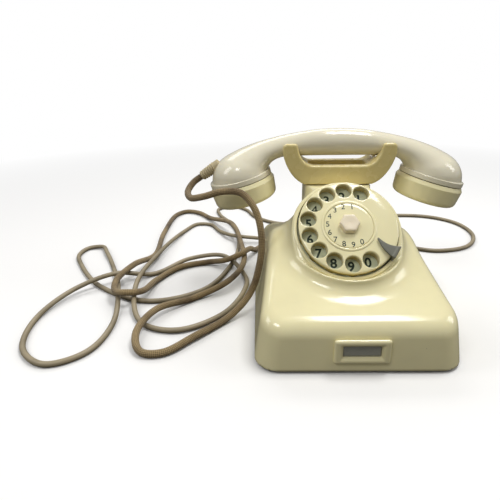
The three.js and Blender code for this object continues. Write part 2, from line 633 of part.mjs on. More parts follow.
// The two cords lie in loose loops on the table. Each route is a list of points along its middle.
const handsetRoute = [
  [-125.5, 47, 111.25], [-132.5, 44.8, 106.4], [-137, 36.5, 100], [-133, 25, 97], [-120, 15, 101],
  [-103, 10.5, 106.5], [-87, 7.5, 106], [-75, 2, 93], [-69.5, -5, 70], [-72, -9, 44],
  [-80, -13, 21], [-97, -24, 5.25], [-124, -52, 4], [-146, -72, 3.25], [-163, -71, 3.5],
  [-171, -52, 7.5], [-162, -18, 8.5], [-134, 10, 3.25], [-104, 32, 8.25], [-89, 72, 9.75],
  [-94, 128, 11], [-108, 182, 15.5], [-143, 238, 4], [-163, 264, 3.5], [-181, 271, 3.25],
  [-194, 257, 3.25], [-198, 180, 3.5], [-193, 105, 4.75], [-203, 60, 14.75], [-211, 26, 14],
  [-206, 7.5, 12.25], [-194, 0.5, 14.75], [-182.5, 9.5, 11], [-177, 46, 3.75], [-158, 76, 3.75],
  [-130, 88, 3.75], [-108, 80, 10], [-93, 80.5, 16.25], [-83, 98, 15.25], [-76, 122, 4],
  [-66, 136, 4], [-53, 137, 6.5], [-44, 125, 12.5], [-42, 115, 14],
];
const lineRoute = [
  [42, 115, 14], [42.6, 123, 12.5], [49, 136, 6], [66, 146, 3], [98, 134, 2.5],
  [136, 118, 2.5], [178, 130, 2.5], [203, 168, 2.5], [201, 212, 2.5], [172, 240, 2.5],
  [110, 246, 2.5], [20, 220, 2.5], [-42, 216, 2.5], [-76, 244, 2.5], [-92, 280, 2.5],
  [-114, 298, 2.5], [-134, 284, 2.5], [-130, 256, 2.5], [-108, 210, 2.5], [-97, 150, 2.5],
  [-104, 80, 2.5], [-128, 26, 2.5], [-175, 6, 2.5], [-230, 34, 2.5], [-272, 88, 2.5],
  [-284, 114, 2.5], [-280, 133, 2.6], [-264, 135, 3.5], [-252, 116, 4.25], [-232, 78, 2.5], [-208, 20, 8],
  [-197, -32, 3], [-205, -70, 2.5], [-230, -84, 2.5], [-256, -66, 2.5], [-267, -22, 3],
  [-251, 22, 7], [-218, 46, 11.5], [-184, 62, 2.75], [-150, 92, 6.25], [-112, 92, 9.75],
  [-88, 60, 2.5], [-86, 22, 5.5], [-104, -18, 3.25], [-140, -42, 3], [-173, -30, 2.75],
  [-192, 24, 9.25], [-186, 110, 8.5], [-172, 188, 2.75], [-158, 216, 2.5], [-140, 214, 2.5],
  [-124, 186, 3], [-104, 158, 7.75], [-70, 150, 7], [-42, 152, 4.5], [-24, 152, 7],
];

function cordTube(route, diameter, sides, steps) {
  const path = new THREE.CatmullRomCurve3(route.map((p) => new THREE.Vector3(...p)));
  const section = new THREE.Shape();
  for (let k = 0; k < sides; k += 1) {
    const a = (2 * Math.PI * k) / sides;
    const at = [(diameter / 2) * Math.cos(a), (diameter / 2) * Math.sin(a)];
    if (k === 0) section.moveTo(...at);
    else section.lineTo(...at);
  }
  return new THREE.ExtrudeGeometry(section, { steps, extrudePath: path, bevelEnabled: false });
}
place(object, 'handset_cord', cordTube(handsetRoute, handsetCord.diameter, 8, 84), braidTan);
place(object, 'line_cord', cordTube(lineRoute, lineCord.diameter, 8, 110), cableBeige);

// Four-pin plug at the end of the line cord, lying on the table behind the telephone.
const plug = { length: 34, width: 26, height: 14, pin: 1.6, pinLength: 12 };
function makePlug() {
  const [x, y] = lineRoute[lineRoute.length - 1];
  const start = x + GAP;
  const outline = roundedOutline(plug.length / 2, -plug.width / 2, plug.width / 2, 6, 4, 1);
  const middle = start + plug.length / 2;
  const levels = [[0.2, 1], [1.2, 0], [plug.height - 1.2, 0], [plug.height - 0.2, 1]];
  let body = solid(loft(levels.map(([z, inset]) => outline.map(([px, py, nx, ny]) => (
    new THREE.Vector3(middle + px - nx * inset, y + py - ny * inset, z))))));
  for (const [dy, dz] of [[-8, 0], [8, 0], [-3, 3.2], [3, -3.2]]) {
    const pin = disc(plug.pin, plug.length - 2, plug.length + plug.pinLength, 12).rotateY(Math.PI / 2);
    body = body.add(solid(along(pin, start, y + dy, plug.height / 2 + dz)));
  }
  return surface(body);
}
place(object, 'line_plug', makePlug(), darkPlastic);

export default object;
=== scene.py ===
"""Desk telephone with a rotary dial, a cradle and a lift-off handset on a braided cord.

Each operator makes one piece, or one group of like pieces, round the frame that holds every size
and place of the working model. Lengths inside the functions are millimetres.
"""
import json
import math

import bmesh
import bpy
import numpy as np
from bpy.props import FloatProperty, FloatVectorProperty, IntProperty, PointerProperty
from mathutils import Matrix, Vector


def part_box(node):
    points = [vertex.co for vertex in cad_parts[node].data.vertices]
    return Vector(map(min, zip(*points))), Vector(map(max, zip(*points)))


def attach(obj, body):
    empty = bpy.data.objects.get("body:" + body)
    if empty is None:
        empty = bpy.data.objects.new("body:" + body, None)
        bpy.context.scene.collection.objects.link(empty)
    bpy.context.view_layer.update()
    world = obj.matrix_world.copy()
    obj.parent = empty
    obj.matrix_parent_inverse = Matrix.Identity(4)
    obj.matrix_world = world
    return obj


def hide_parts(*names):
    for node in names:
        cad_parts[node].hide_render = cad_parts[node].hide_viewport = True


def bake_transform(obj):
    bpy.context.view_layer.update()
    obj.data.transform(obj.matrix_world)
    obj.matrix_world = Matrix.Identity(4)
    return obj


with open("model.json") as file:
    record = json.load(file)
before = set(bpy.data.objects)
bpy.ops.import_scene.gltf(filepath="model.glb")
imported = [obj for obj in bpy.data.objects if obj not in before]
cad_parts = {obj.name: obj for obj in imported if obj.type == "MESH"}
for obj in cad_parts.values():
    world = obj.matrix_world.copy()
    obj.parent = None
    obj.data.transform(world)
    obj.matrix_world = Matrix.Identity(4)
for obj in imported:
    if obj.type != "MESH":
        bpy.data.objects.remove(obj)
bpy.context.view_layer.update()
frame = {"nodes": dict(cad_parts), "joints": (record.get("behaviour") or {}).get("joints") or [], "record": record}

bl_info = {
    "name": "Rotary telephone",
    "version": (1, 0, 0),
    "blender": (4, 5, 0),
    "location": "3D View > Sidebar > Telephone",
    "description": "Makes a desk telephone with a rotary dial, piece by piece",
    "category": "Object",
}

MM = 0.001


# ------------------------------------------------------------------ sizes and colours a user would change
def linear(code):
    """Linear colour with alpha from an sRGB code such as 0xf3ebc0."""
    parts = [(code >> shift & 255) / 255 for shift in (16, 8, 0)]
    return tuple(c / 12.92 if c <= 0.04045 else ((c + 0.055) / 1.055) ** 2.4 for c in parts) + (1.0,)


def length(name, millimetres, description):
    """A length that a user can change, held in metres."""
    return FloatProperty(name=name, description=description, default=millimetres * MM, min=0,
                         unit="LENGTH", subtype="DISTANCE")


def turn(name, degrees, description):
    """An angle that a user can change, held in radians."""
    return FloatProperty(name=name, description=description, default=math.radians(degrees),
                         unit="ROTATION", subtype="ANGLE")


def colour(name, code, description):
    """A colour that a user can change."""
    return FloatVectorProperty(name=name, description=description, default=linear(code)[:3], size=3,
                               min=0, max=1, subtype="COLOR")


class TelephoneSizes(bpy.types.PropertyGroup):
    """Sizes of the telephone's pieces."""
    corner: length("Base corner", 18, "Radius of the housing's corners seen from above")
    wall: length("Wall", 3, "Thickness of the housing's moulded wall")
    shoulder: length("Shoulder", 9, "Softness of the edge between the walls and the sloping top")
    mound_radius: length("Dial seat radius", 44.8, "Radius of the raised seat of the dial")
    mound_sweep: length("Dial seat sweep", 22, "How far the dial seat sweeps out into the top")
    neck_half_width: length("Neck half width", 29.5, "Half the width of the neck under the cradle")
    wheel_radius: length("Finger wheel radius", 40, "Outer radius of the finger wheel")
    wheel_thickness: length("Finger wheel thickness", 6.5, "Thickness of the finger wheel")
    hole_radius: length("Finger hole radius", 6.5, "Radius of each finger hole")
    hole_circle: length("Finger hole circle", 32.3, "Radius of the circle that the finger holes lie on")
    first_hole: turn("First finger hole", 23.7, "Angle of hole 1, clockwise from the top")
    hole_step: turn("Finger hole step", 25.6, "Angle from one finger hole to the next")
    holes: IntProperty(name="Finger holes", description="Number of finger holes", default=10, min=1, max=12)
    disc_radius: length("Number disc radius", 19.6, "Radius of the disc in the middle of the wheel")
    nut_radius: length("Nut radius", 8.3, "Radius of the hexagonal nut across its corners")
    collar_radius: length("Collar radius", 43.8, "Outer radius of the ring round the wheel")
    plate_digit: length("Plate digit height", 8.2, "Height of the digits under the finger holes")
    plate_digit_circle: length("Plate digit circle", 31.4, "Radius of the circle of the plate's digits")
    disc_digit: length("Disc digit height", 4.6, "Height of the small digits on the number disc")
    seam_radius: length("Handset seam radius", 28.4, "Radius of the handset's ends at the caps")
    cap_radius: length("Cap radius", 30.5, "Largest radius of the mouthpiece and earpiece caps")
    cap_height: length("Cap height", 20, "Height of the mouthpiece and earpiece caps")
    sound_hole: length("Sound hole radius", 1.8, "Radius of the sound holes in the caps")
    handset_cord: length("Handset cord", 6, "Diameter of the handset's braided cord")
    line_cord: length("Line cord", 4.6, "Diameter of the line cord")


class TelephoneColours(bpy.types.PropertyGroup):
    """Colours of the telephone's pieces."""
    ivory: colour("Ivory", 0xF0E7B8, "Housing, finger wheel, collar and caps")
    pale_ivory: colour("Pale ivory", 0xEBE4CB, "Handset")
    aged_ivory: colour("Aged ivory", 0xDCCB8C, "Cradle, which has yellowed more")
    # Painted shade, partly yellowed resin: the darker golden brown of the finger holes' walls and the wheel's rim.
    hole_shade_and_yellowing: colour("Shaded hole ivory", 0xB3A05F, "Walls of the finger holes and rim of the wheel")
    nut: colour("Nut", 0xE8DABC, "Hexagonal nut in the middle of the dial")
    plate: colour("Number plate", 0xE2EACC, "Enamelled plate under the finger holes")
    digits: colour("Digits", 0x0E2A18, "Printed digits")
    finger_stop: colour("Finger stop", 0x6B6B60, "Finger stop of the dial")
    braid: colour("Handset cord", 0xA38C62, "Cotton braid of the handset cord")
    vinyl: colour("Line cord", 0xA09378, "Sheath of the line cord")


# ------------------------------------------------------------------ places taken from the frame
def box_mm(node):
    """Lowest and highest corner of a CAD node, in millimetres."""
    low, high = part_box(node)
    return np.array(low) / MM, np.array(high) / MM


JOINTS = {joint["name"]: joint for joint in frame["joints"]}
HOUSING_LOW, HOUSING_HIGH = box_mm("housing")
CRADLE_LOW, CRADLE_HIGH = box_mm("cradle")
HANDSET_Y = (box_mm("handset_shell")[0][1] + box_mm("handset_shell")[1][1]) / 2
DIAL_CENTRE = np.array(JOINTS["dial_turn"]["pos_m"]) / MM
DIAL_OUT = -np.array(JOINTS["dial_turn"]["axis"])
DIAL_RIGHT = np.array([1.0, 0.0, 0.0])
DIAL_UP = np.cross(DIAL_OUT, DIAL_RIGHT)


def dial_level(node, highest=True):
    """Height of a dial node's face over the wheel's face, measured along the dial's axis."""
    vertices = frame["nodes"][node].data.vertices
    heights = [(np.array(v.co) / MM - DIAL_CENTRE) @ DIAL_OUT for v in vertices]
    return max(heights) if highest else min(heights)


PLATE_TOP = dial_level("number_plate")
COLLAR_TOP = dial_level("collar")
SEAT = dial_level("collar", highest=False) - 0.3
SEAM = (88.0, 108.0, math.radians(15))   # x and z of the middle of an end's seam, and its tilt


def sizes():
    """The sizes as set, in millimetres."""
    group = bpy.context.scene.telephone_sizes
    names = TelephoneSizes.__annotations__
    rest = ("first_hole", "hole_step", "holes")
    return {name: getattr(group, name) / (1 if name in rest else MM) for name in names}


def tint(name):
    """A colour as set, with alpha."""
    return (*getattr(bpy.context.scene.telephone_colours, name), 1.0)


def shaded(rgba, amount):
    """The same colour with its brightness multiplied."""
    return (*[min(c * amount, 1.0) for c in rgba[:3]], 1.0)


# ------------------------------------------------------------------ shapes by rule
def soft_max(a, b, k):
    """The larger of two distances, with the crease rounded over k."""
    h = np.clip(0.5 + 0.5 * (a - b) / k, 0, 1)
    return b * (1 - h) + a * h + k * h * (1 - h)


def soft_min(a, b, k):
    """The smaller of two distances, with the crease filled over k."""
    return -soft_max(-a, -b, k)


def rounded_box(x, y, half_x, half_y, corner):
    """Distance to a flat rectangle with round corners, centred on the origin."""
    qx = np.abs(x) - half_x + corner
    qy = np.abs(y) - half_y + corner
    outside = np.hypot(np.maximum(qx, 0), np.maximum(qy, 0))
    return outside + np.minimum(np.maximum(qx, qy), 0) - corner


def outline_distance(outline, x, y):
    """Distance to a closed outline, negative inside it."""
    nearest = np.full(x.shape, np.inf)
    inside = np.zeros(x.shape, bool)
    for (ax, ay), (bx, by) in zip(outline, np.roll(outline, -1, 0)):
        ex, ey = bx - ax, by - ay
        t = np.clip(((x - ax) * ex + (y - ay) * ey) / max(ex * ex + ey * ey, 1e-12), 0, 1)
        nearest = np.minimum(nearest, np.hypot(x - ax - t * ex, y - ay - t * ey))
        if ey:
            inside ^= ((ay > y) != (by > y)) & (x < ax + ex * (y - ay) / ey)
    return np.where(inside, -nearest, nearest)


def rounded(corners, steps=5):
    """Closed outline through corners of (x, y, radius), with each corner on an arc."""
    out = []
    count = len(corners)
    for k, (x, y, radius) in enumerate(corners):
        here = np.array([x, y], float)
        if radius <= 0:
            out.append(here)
            continue
        before = np.array(corners[k - 1][:2], float) - here
        after = np.array(corners[(k + 1) % count][:2], float) - here
        before /= np.linalg.norm(before)
        after /= np.linalg.norm(after)
        half = math.acos(np.clip(before @ after, -1, 1)) / 2
        middle = (before + after) / np.linalg.norm(before + after)
        centre = here + middle * radius / math.sin(half)
        first = here + before * radius / math.tan(half) - centre
        last = here + after * radius / math.tan(half) - centre
        for s in np.linspace(0, 1, steps + 1):
            spoke = first * (1 - s) + last * s
            out.append(centre + spoke * radius / np.linalg.norm(spoke))
    return np.array(out)


def slope_of(field, points):
    """Direction and steepness in which a field grows."""
    reach = 0.02
    return np.stack([field(points + d) - field(points - d) for d in np.eye(3) * reach], 1) / (2 * reach)


def skin(field, low, high, step):
    """Points, quads and normals of the surface where a field is zero, on a grid of that step."""
    axes = [np.arange(a, b + step, step) for a, b in zip(low, high)]
    grid = np.stack(np.meshgrid(*axes, indexing="ij"), -1)
    size = grid.shape[:3]
    inside = (field(grid.reshape(-1, 3)) < 0).reshape(size)
    count = np.zeros([n - 1 for n in size], int)
    for i, j, k in np.ndindex(2, 2, 2):
        count += inside[i:size[0] - 1 + i, j:size[1] - 1 + j, k:size[2] - 1 + k]
    crossed = (count > 0) & (count < 8)
    number = np.full(crossed.shape, -1)
    number[crossed] = np.arange(crossed.sum())
    points = np.array(low) + (np.argwhere(crossed) + 0.5) * step
    for _ in range(5):
        slope = slope_of(field, points)
        move = slope * (field(points) / np.maximum((slope ** 2).sum(1), 0.05))[:, None]
        reach = np.linalg.norm(move, axis=1, keepdims=True)
        points = points - move * np.minimum(1, 0.5 * step / np.maximum(reach, 1e-9))
    faces = []
    for axis in range(3):
        b, c = (axis + 1) % 3, (axis + 2) % 3
        lower = np.take(inside, range(size[axis] - 1), axis)
        upper = np.take(inside, range(1, size[axis]), axis)
        edges = np.argwhere(lower != upper)
        clear = ((edges[:, b] > 0) & (edges[:, c] > 0)
                 & (edges[:, b] < size[b] - 1) & (edges[:, c] < size[c] - 1))
        edges = edges[clear]
        ring = []
        for back_b, back_c in ((1, 1), (0, 1), (0, 0), (1, 0)):
            cell = edges.copy()
            cell[:, b] -= back_b
            cell[:, c] -= back_c
            ring.append(number[tuple(cell.T)])
        quads = np.stack(ring, 1)
        inward = ~lower[tuple(edges.T)]
        quads[inward] = quads[inward][:, ::-1]
        faces.append(quads)
    normals = slope_of(field, points)
    normals /= np.maximum(np.linalg.norm(normals, axis=1, keepdims=True), 1e-9)
    return points, np.concatenate(faces).tolist(), normals


def turned(outline, segments=120):
    """Points and faces of a closed outline of (radius, height), turned about the axis."""
    count = len(outline)
    angles = np.arange(segments) * 2 * np.pi / segments
    points = [[r * math.cos(a), r * math.sin(a), h] for a in angles for r, h in outline]
    faces = []
    for j in range(segments):
        for i in range(count):
            here, there = j * count, (j + 1) % segments * count
            follow = (i + 1) % count
            faces.append([here + i, there + i, there + follow, here + follow])
    return np.array(points), faces


def lofted(rings):
    """Points and faces of a skin over closed rings of the same count, with flat ends."""
    count = len(rings[0])
    points = np.concatenate(rings)
    faces = []
    for j in range(len(rings) - 1):
        for i in range(count):
            follow = (i + 1) % count
            faces.append([j * count + i, j * count + follow, (j + 1) * count + follow, (j + 1) * count + i])
    last = (len(rings) - 1) * count
    faces.append(list(range(count))[::-1])
    faces.append([last + i for i in range(count)])
    return points, faces


def joined(*parts):
    """Several (points, faces) as one."""
    points, faces, start = [], [], 0
    for more_points, more_faces in parts:
        points.append(more_points)
        faces += [[start + i for i in face] for face in more_faces]
        start += len(more_points)
    return np.concatenate(points), faces


def on_dial(points):
    """Places points made about the dial's axis, with the wheel's face at height 0."""
    points = np.asarray(points)
    return DIAL_CENTRE + points[:, :1] * DIAL_RIGHT + points[:, 1:2] * DIAL_UP + points[:, 2:] * DIAL_OUT


def dial_normals(normals):
    """Turns normals as on_dial turns points."""
    return normals[:, :1] * DIAL_RIGHT + normals[:, 1:2] * DIAL_UP + normals[:, 2:] * DIAL_OUT


def on_seam(points, side):
    """Places points made about +Z, with the seam at height 0, on one end of the handset."""
    x, z, tilt = SEAM
    tilt *= side
    p = np.asarray(points)
    return np.stack([side * x + p[:, 0] * math.cos(tilt) + p[:, 2] * math.sin(tilt),
                     HANDSET_Y + p[:, 1],
                     z - p[:, 0] * math.sin(tilt) + p[:, 2] * math.cos(tilt)], 1)


def between(points, start, end):
    """Places points made about +Z, from height 0, along the line from start to end."""
    direction = (Vector(end) - Vector(start)).normalized()
    turn_to = np.array(direction.to_track_quat("Z", "Y").to_matrix())
    return np.asarray(points) @ turn_to.T + np.array(start)


def smooth_path(route, per_span):
    """Centripetal curve through the route's points, as a list of points close together."""
    p = [np.array(q, float) for q in route]
    p = [2 * p[0] - p[1], *p, 2 * p[-1] - p[-2]]
    out = []
    for a, b, c, d in zip(p, p[1:], p[2:], p[3:]):
        dt0, dt1, dt2 = (max(np.linalg.norm(v - u), 1e-4) ** 0.5 for u, v in ((a, b), (b, c), (c, d)))
        leave = ((b - a) / dt0 - (c - a) / (dt0 + dt1) + (c - b) / dt1) * dt1
        arrive = ((c - b) / dt1 - (d - b) / (dt1 + dt2) + (d - c) / dt2) * dt1
        for s in np.arange(per_span) / per_span:
            out.append(b + leave * s + (3 * (c - b) - 2 * leave - arrive) * s ** 2
                       + (2 * (b - c) + leave + arrive) * s ** 3)
    out.append(p[-2])
    return np.array(out)


# ------------------------------------------------------------------ objects
def piece(name, points, faces, material, body="root", slot=None, nodes=(), normals=None, weld=True):
    """A finished mesh object that rides on a body and stands for its CAD nodes."""
    mesh = bpy.data.meshes.new(name)
    mesh.from_pydata((np.asarray(points) * MM).tolist(), [], faces)
    if weld and normals is None:
        work = bmesh.new()
        work.from_mesh(mesh)
        bmesh.ops.remove_doubles(work, verts=work.verts, dist=1e-6)
        bmesh.ops.dissolve_degenerate(work, edges=work.edges, dist=1e-7)
        bmesh.ops.recalc_face_normals(work, faces=work.faces)
        work.to_mesh(mesh)
        work.free()
    mesh.shade_smooth()
    if normals is None:
        mesh.set_sharp_from_angle(angle=math.radians(50))
    else:
        mesh.normals_split_custom_set_from_vertices(normals.tolist())
    return adopted(name, mesh, material, body, nodes, weighted=normals is None)


def adopted(name, mesh, material, body="root", nodes=(), weighted=False):
    """An object for a mesh, with its material, body and the CAD nodes it replaces."""
    made = bpy.data.objects.new(name, mesh)
    bpy.context.scene.collection.objects.link(made)
    mesh.materials.clear()
    mesh.materials.append(material)
    if weighted:
        made.modifiers.new("Even shading", "WEIGHTED_NORMAL").keep_sharp = True
    if body:
        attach(made, body)
    if nodes:
        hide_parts(*nodes)
    return made


PLATE_DIGIT_WEIGHT = 0.028   # how much a digit's outline is thickened, as a share of the letter size
DISC_DIGIT_WEIGHT = 0.01
DISC_DIGIT_CIRCLE = 16.9
DISC_FIRST_DIGIT = math.radians(13.5)
DISC_DIGIT_STEP = math.radians(25)


def digit_points(text, height, bold):
    """Points and faces of one flat printed digit, centred, made about +Z. The 4 keeps its plain weight,
    because added weight fills the triangle inside it."""
    curve = bpy.data.curves.new("digit", "FONT")
    curve.body = text
    curve.size = 1.0
    curve.resolution_u = 6
    curve.offset = 0.0 if text == "4" else bold
    curve.extrude = 0.006
    maker = bpy.data.objects.new("digit", curve)
    bpy.context.scene.collection.objects.link(maker)
    bpy.context.view_layer.update()
    mesh = bpy.data.meshes.new_from_object(maker.evaluated_get(bpy.context.evaluated_depsgraph_get()))
    points = np.array([v.co for v in mesh.vertices])
    faces = [list(p.vertices) for p in mesh.polygons]
    bpy.data.objects.remove(maker)
    bpy.data.meshes.remove(mesh)
    low, high = points.min(0), points.max(0)
    points = (points - (low + high) / 2) * height / (high[1] - low[1])
    points[:, 2] *= 0.04 / max(points[:, 2].max(), 1e-9)
    return points, faces


def ring_of_digits(height, bold, radius, first, step, level):
    """Ten upright digits, 1 to 0, on a circle of the dial."""
    parts = []
    for k in range(10):
        points, faces = digit_points(str((k + 1) % 10), height, bold)
        angle = first - k * step
        parts.append((points + [radius * math.sin(angle), radius * math.cos(angle), level], faces))
    points, faces = joined(*parts)
    return on_dial(points), faces


# ------------------------------------------------------------------ geometry node trees
def add(tree, kind, values=None, links=None, **settings):
    """Adds one node, with its settings, input values and links."""
    made = tree.nodes.new(kind)
    for key, value in settings.items():
        setattr(made, key, value)
    for key, value in (values or {}).items():
        made.inputs[key].default_value = value
    for key, socket in (links or {}).items():
        tree.links.new(socket, made.inputs[key])
    return made


def new_tree(name, inputs):
    """An empty geometry tree with named inputs, given as {name: (socket kind, default)}."""
    tree = bpy.data.node_groups.new(name, "GeometryNodeTree")
    for label, (kind, default) in inputs.items():
        socket = tree.interface.new_socket(label, in_out="INPUT", socket_type=kind)
        if default is not None:
            socket.default_value = default
    tree.interface.new_socket("Geometry", in_out="OUTPUT", socket_type="NodeSocketGeometry")
    return tree


def end_tree(tree, geometry, material):
    """Realizes the instances, sets the material and ends the tree."""
    real = add(tree, "GeometryNodeRealizeInstances", links={0: geometry})
    painted = add(tree, "GeometryNodeSetMaterial", links={"Geometry": real.outputs[0], "Material": material})
    add(tree, "NodeGroupOutput", links={0: painted.outputs[0]})


def round_pins_tree():
    """Round pins on a circle: perforation cutters, and the contact pins of the plug."""
    tree = new_tree("Round pins on a circle", {
        "Count": ("NodeSocketInt", 6), "Circle radius": ("NodeSocketFloat", 0.009),
        "Pin radius": ("NodeSocketFloat", 0.0018), "Pin length": ("NodeSocketFloat", 0.01),
        "Material": ("NodeSocketMaterial", None)})
    given = add(tree, "NodeGroupInput").outputs
    circle = add(tree, "GeometryNodeMeshCircle",
                 links={"Vertices": given["Count"], "Radius": given["Circle radius"]})
    pin = add(tree, "GeometryNodeMeshCylinder", {"Vertices": 28},
              {"Radius": given["Pin radius"], "Depth": given["Pin length"]})
    copies = add(tree, "GeometryNodeInstanceOnPoints",
                 links={"Points": circle.outputs["Mesh"], "Instance": pin.outputs["Mesh"]})
    end_tree(tree, copies.outputs[0], given["Material"])
    return tree


def ribs_tree():
    """Round ribs along a tapering sleeve, from its wide end at height 0."""
    tree = new_tree("Ribs along a sleeve", {
        "Count": ("NodeSocketInt", 5), "Length": ("NodeSocketFloat", 0.02),
        "Wide radius": ("NodeSocketFloat", 0.005), "Narrow radius": ("NodeSocketFloat", 0.004),
        "Rib radius": ("NodeSocketFloat", 0.0006), "Material": ("NodeSocketMaterial", None)})
    given = add(tree, "NodeGroupInput").outputs
    line = add(tree, "GeometryNodeMeshLine", links={"Count": given["Count"]})
    index = add(tree, "GeometryNodeInputIndex")
    spans = add(tree, "ShaderNodeMath", {1: 1.0}, {0: given["Count"]}, operation="SUBTRACT")
    share = add(tree, "ShaderNodeMath", links={0: index.outputs[0], 1: spans.outputs[0]}, operation="DIVIDE")
    height = add(tree, "ShaderNodeMath", links={0: share.outputs[0], 1: given["Length"]},
                 operation="MULTIPLY")
    place = add(tree, "ShaderNodeCombineXYZ", links={"Z": height.outputs[0]})
    line_up = add(tree, "GeometryNodeSetPosition",
                  links={"Geometry": line.outputs[0], "Position": place.outputs[0]})
    width = add(tree, "ShaderNodeMapRange", links={
        "Value": share.outputs[0], "To Min": given["Wide radius"], "To Max": given["Narrow radius"]})
    size = add(tree, "ShaderNodeCombineXYZ", {"Z": 1.0}, {"X": width.outputs[0], "Y": width.outputs[0]})
    round_line = add(tree, "GeometryNodeCurvePrimitiveCircle", {"Resolution": 40, "Radius": 1.0})
    # The rib is made at its own thickness and only its circle is scaled, so it is a circle of points first.
    points = add(tree, "GeometryNodeInstanceOnPoints", links={
        "Points": line_up.outputs[0], "Instance": round_line.outputs[0], "Scale": size.outputs[0]})
    circles = add(tree, "GeometryNodeRealizeInstances", links={0: points.outputs[0]})
    section = add(tree, "GeometryNodeCurvePrimitiveCircle", {"Resolution": 8},
                  {"Radius": given["Rib radius"]})
    ribs = add(tree, "GeometryNodeCurveToMesh", links={
        "Curve": circles.outputs[0], "Profile Curve": section.outputs[0]})
    end_tree(tree, ribs.outputs[0], given["Material"])
    return tree


def grown(tree, values):
    """Points, in millimetres, and faces that a geometry tree makes from named input values."""
    maker = bpy.data.objects.new("maker", bpy.data.meshes.new("maker"))
    bpy.context.scene.collection.objects.link(maker)
    modifier = maker.modifiers.new("Tree", "NODES")
    modifier.node_group = tree
    sockets = {s.name: s.identifier for s in tree.interface.items_tree if s.in_out == "INPUT"}
    for name, value in values.items():
        modifier[sockets[name]] = value
    bpy.context.view_layer.update()
    mesh = bpy.data.meshes.new_from_object(maker.evaluated_get(bpy.context.evaluated_depsgraph_get()))
    points = np.array([v.co for v in mesh.vertices]) / MM
    faces = [list(p.vertices) for p in mesh.polygons]
    bpy.data.objects.remove(maker)
    bpy.data.meshes.remove(mesh)
    return points, faces


def cut(points, faces, cutters):
    """The shape with closed cutters taken out of it, as (points, faces)."""
    pair = []
    for name, (some_points, some_faces) in (("body", (points, faces)), ("cutters", cutters)):
        mesh = bpy.data.meshes.new(name)
        mesh.from_pydata(np.asarray(some_points).tolist(), [], some_faces)
        work = bmesh.new()
        work.from_mesh(mesh)
        bmesh.ops.remove_doubles(work, verts=work.verts, dist=1e-4)
        bmesh.ops.dissolve_degenerate(work, edges=work.edges, dist=1e-5)
        bmesh.ops.recalc_face_normals(work, faces=work.faces)
        work.to_mesh(mesh)
        work.free()
        made = bpy.data.objects.new(name, mesh)
        bpy.context.scene.collection.objects.link(made)
        pair.append(made)
    modifier = pair[0].modifiers.new("Cut", "BOOLEAN")
    modifier.operation = "DIFFERENCE"
    modifier.solver = "EXACT"
    modifier.object = pair[1]
    bpy.context.view_layer.update()
    mesh = bpy.data.meshes.new_from_object(pair[0].evaluated_get(bpy.context.evaluated_depsgraph_get()))
    out_points = np.array([v.co for v in mesh.vertices])
    out_faces = [list(p.vertices) for p in mesh.polygons]
    for made in pair:
        bpy.data.objects.remove(made)
    bpy.data.meshes.remove(mesh)
    return out_points, out_faces


# ------------------------------------------------------------------ materials
def new_material(name):
    """A material with an output, and its object coordinates."""
    material = bpy.data.materials.new(name)
    material.use_nodes = True
    tree = material.node_tree
    tree.nodes.clear()
    where = add(tree, "ShaderNodeTexCoord")
    return material, tree, where


def end_material(tree, shader):
    """Links the shader to the output."""
    add(tree, "ShaderNodeOutputMaterial", links={"Surface": shader.outputs[0]})


def per(millimetres):
    """Texture scale that repeats about once in that length."""
    return 1 / (millimetres * MM)


def mixed(tree, factor, first, second):
    """A colour between two, given as colours or sockets."""
    values, links = {}, {"Factor": factor}
    for key, item in ((6, first), (7, second)):
        if isinstance(item, tuple):
            values[key] = item
        else:
            links[key] = item
    return add(tree, "ShaderNodeMix", values, links, data_type="RGBA").outputs[2]


def spread(tree, socket, low, high):
    """A 0 to 1 mask from the part of a value between low and high."""
    return add(tree, "ShaderNodeMapRange", {"From Min": low, "From Max": high}, {"Value": socket}).outputs[0]


def below_face(tree, where, depth):
    """A 0 to 1 mask that grows over the first few millimetres below the finger wheel's face."""
    offset = add(tree, "ShaderNodeVectorMath", {1: tuple(DIAL_CENTRE * MM)}, {0: where.outputs["Object"]},
                 operation="SUBTRACT")
    height = add(tree, "ShaderNodeVectorMath", {1: tuple(DIAL_OUT)}, {0: offset.outputs[0]},
                 operation="DOT_PRODUCT")
    return spread(tree, height.outputs["Value"], -1.2 * MM, -depth * MM)


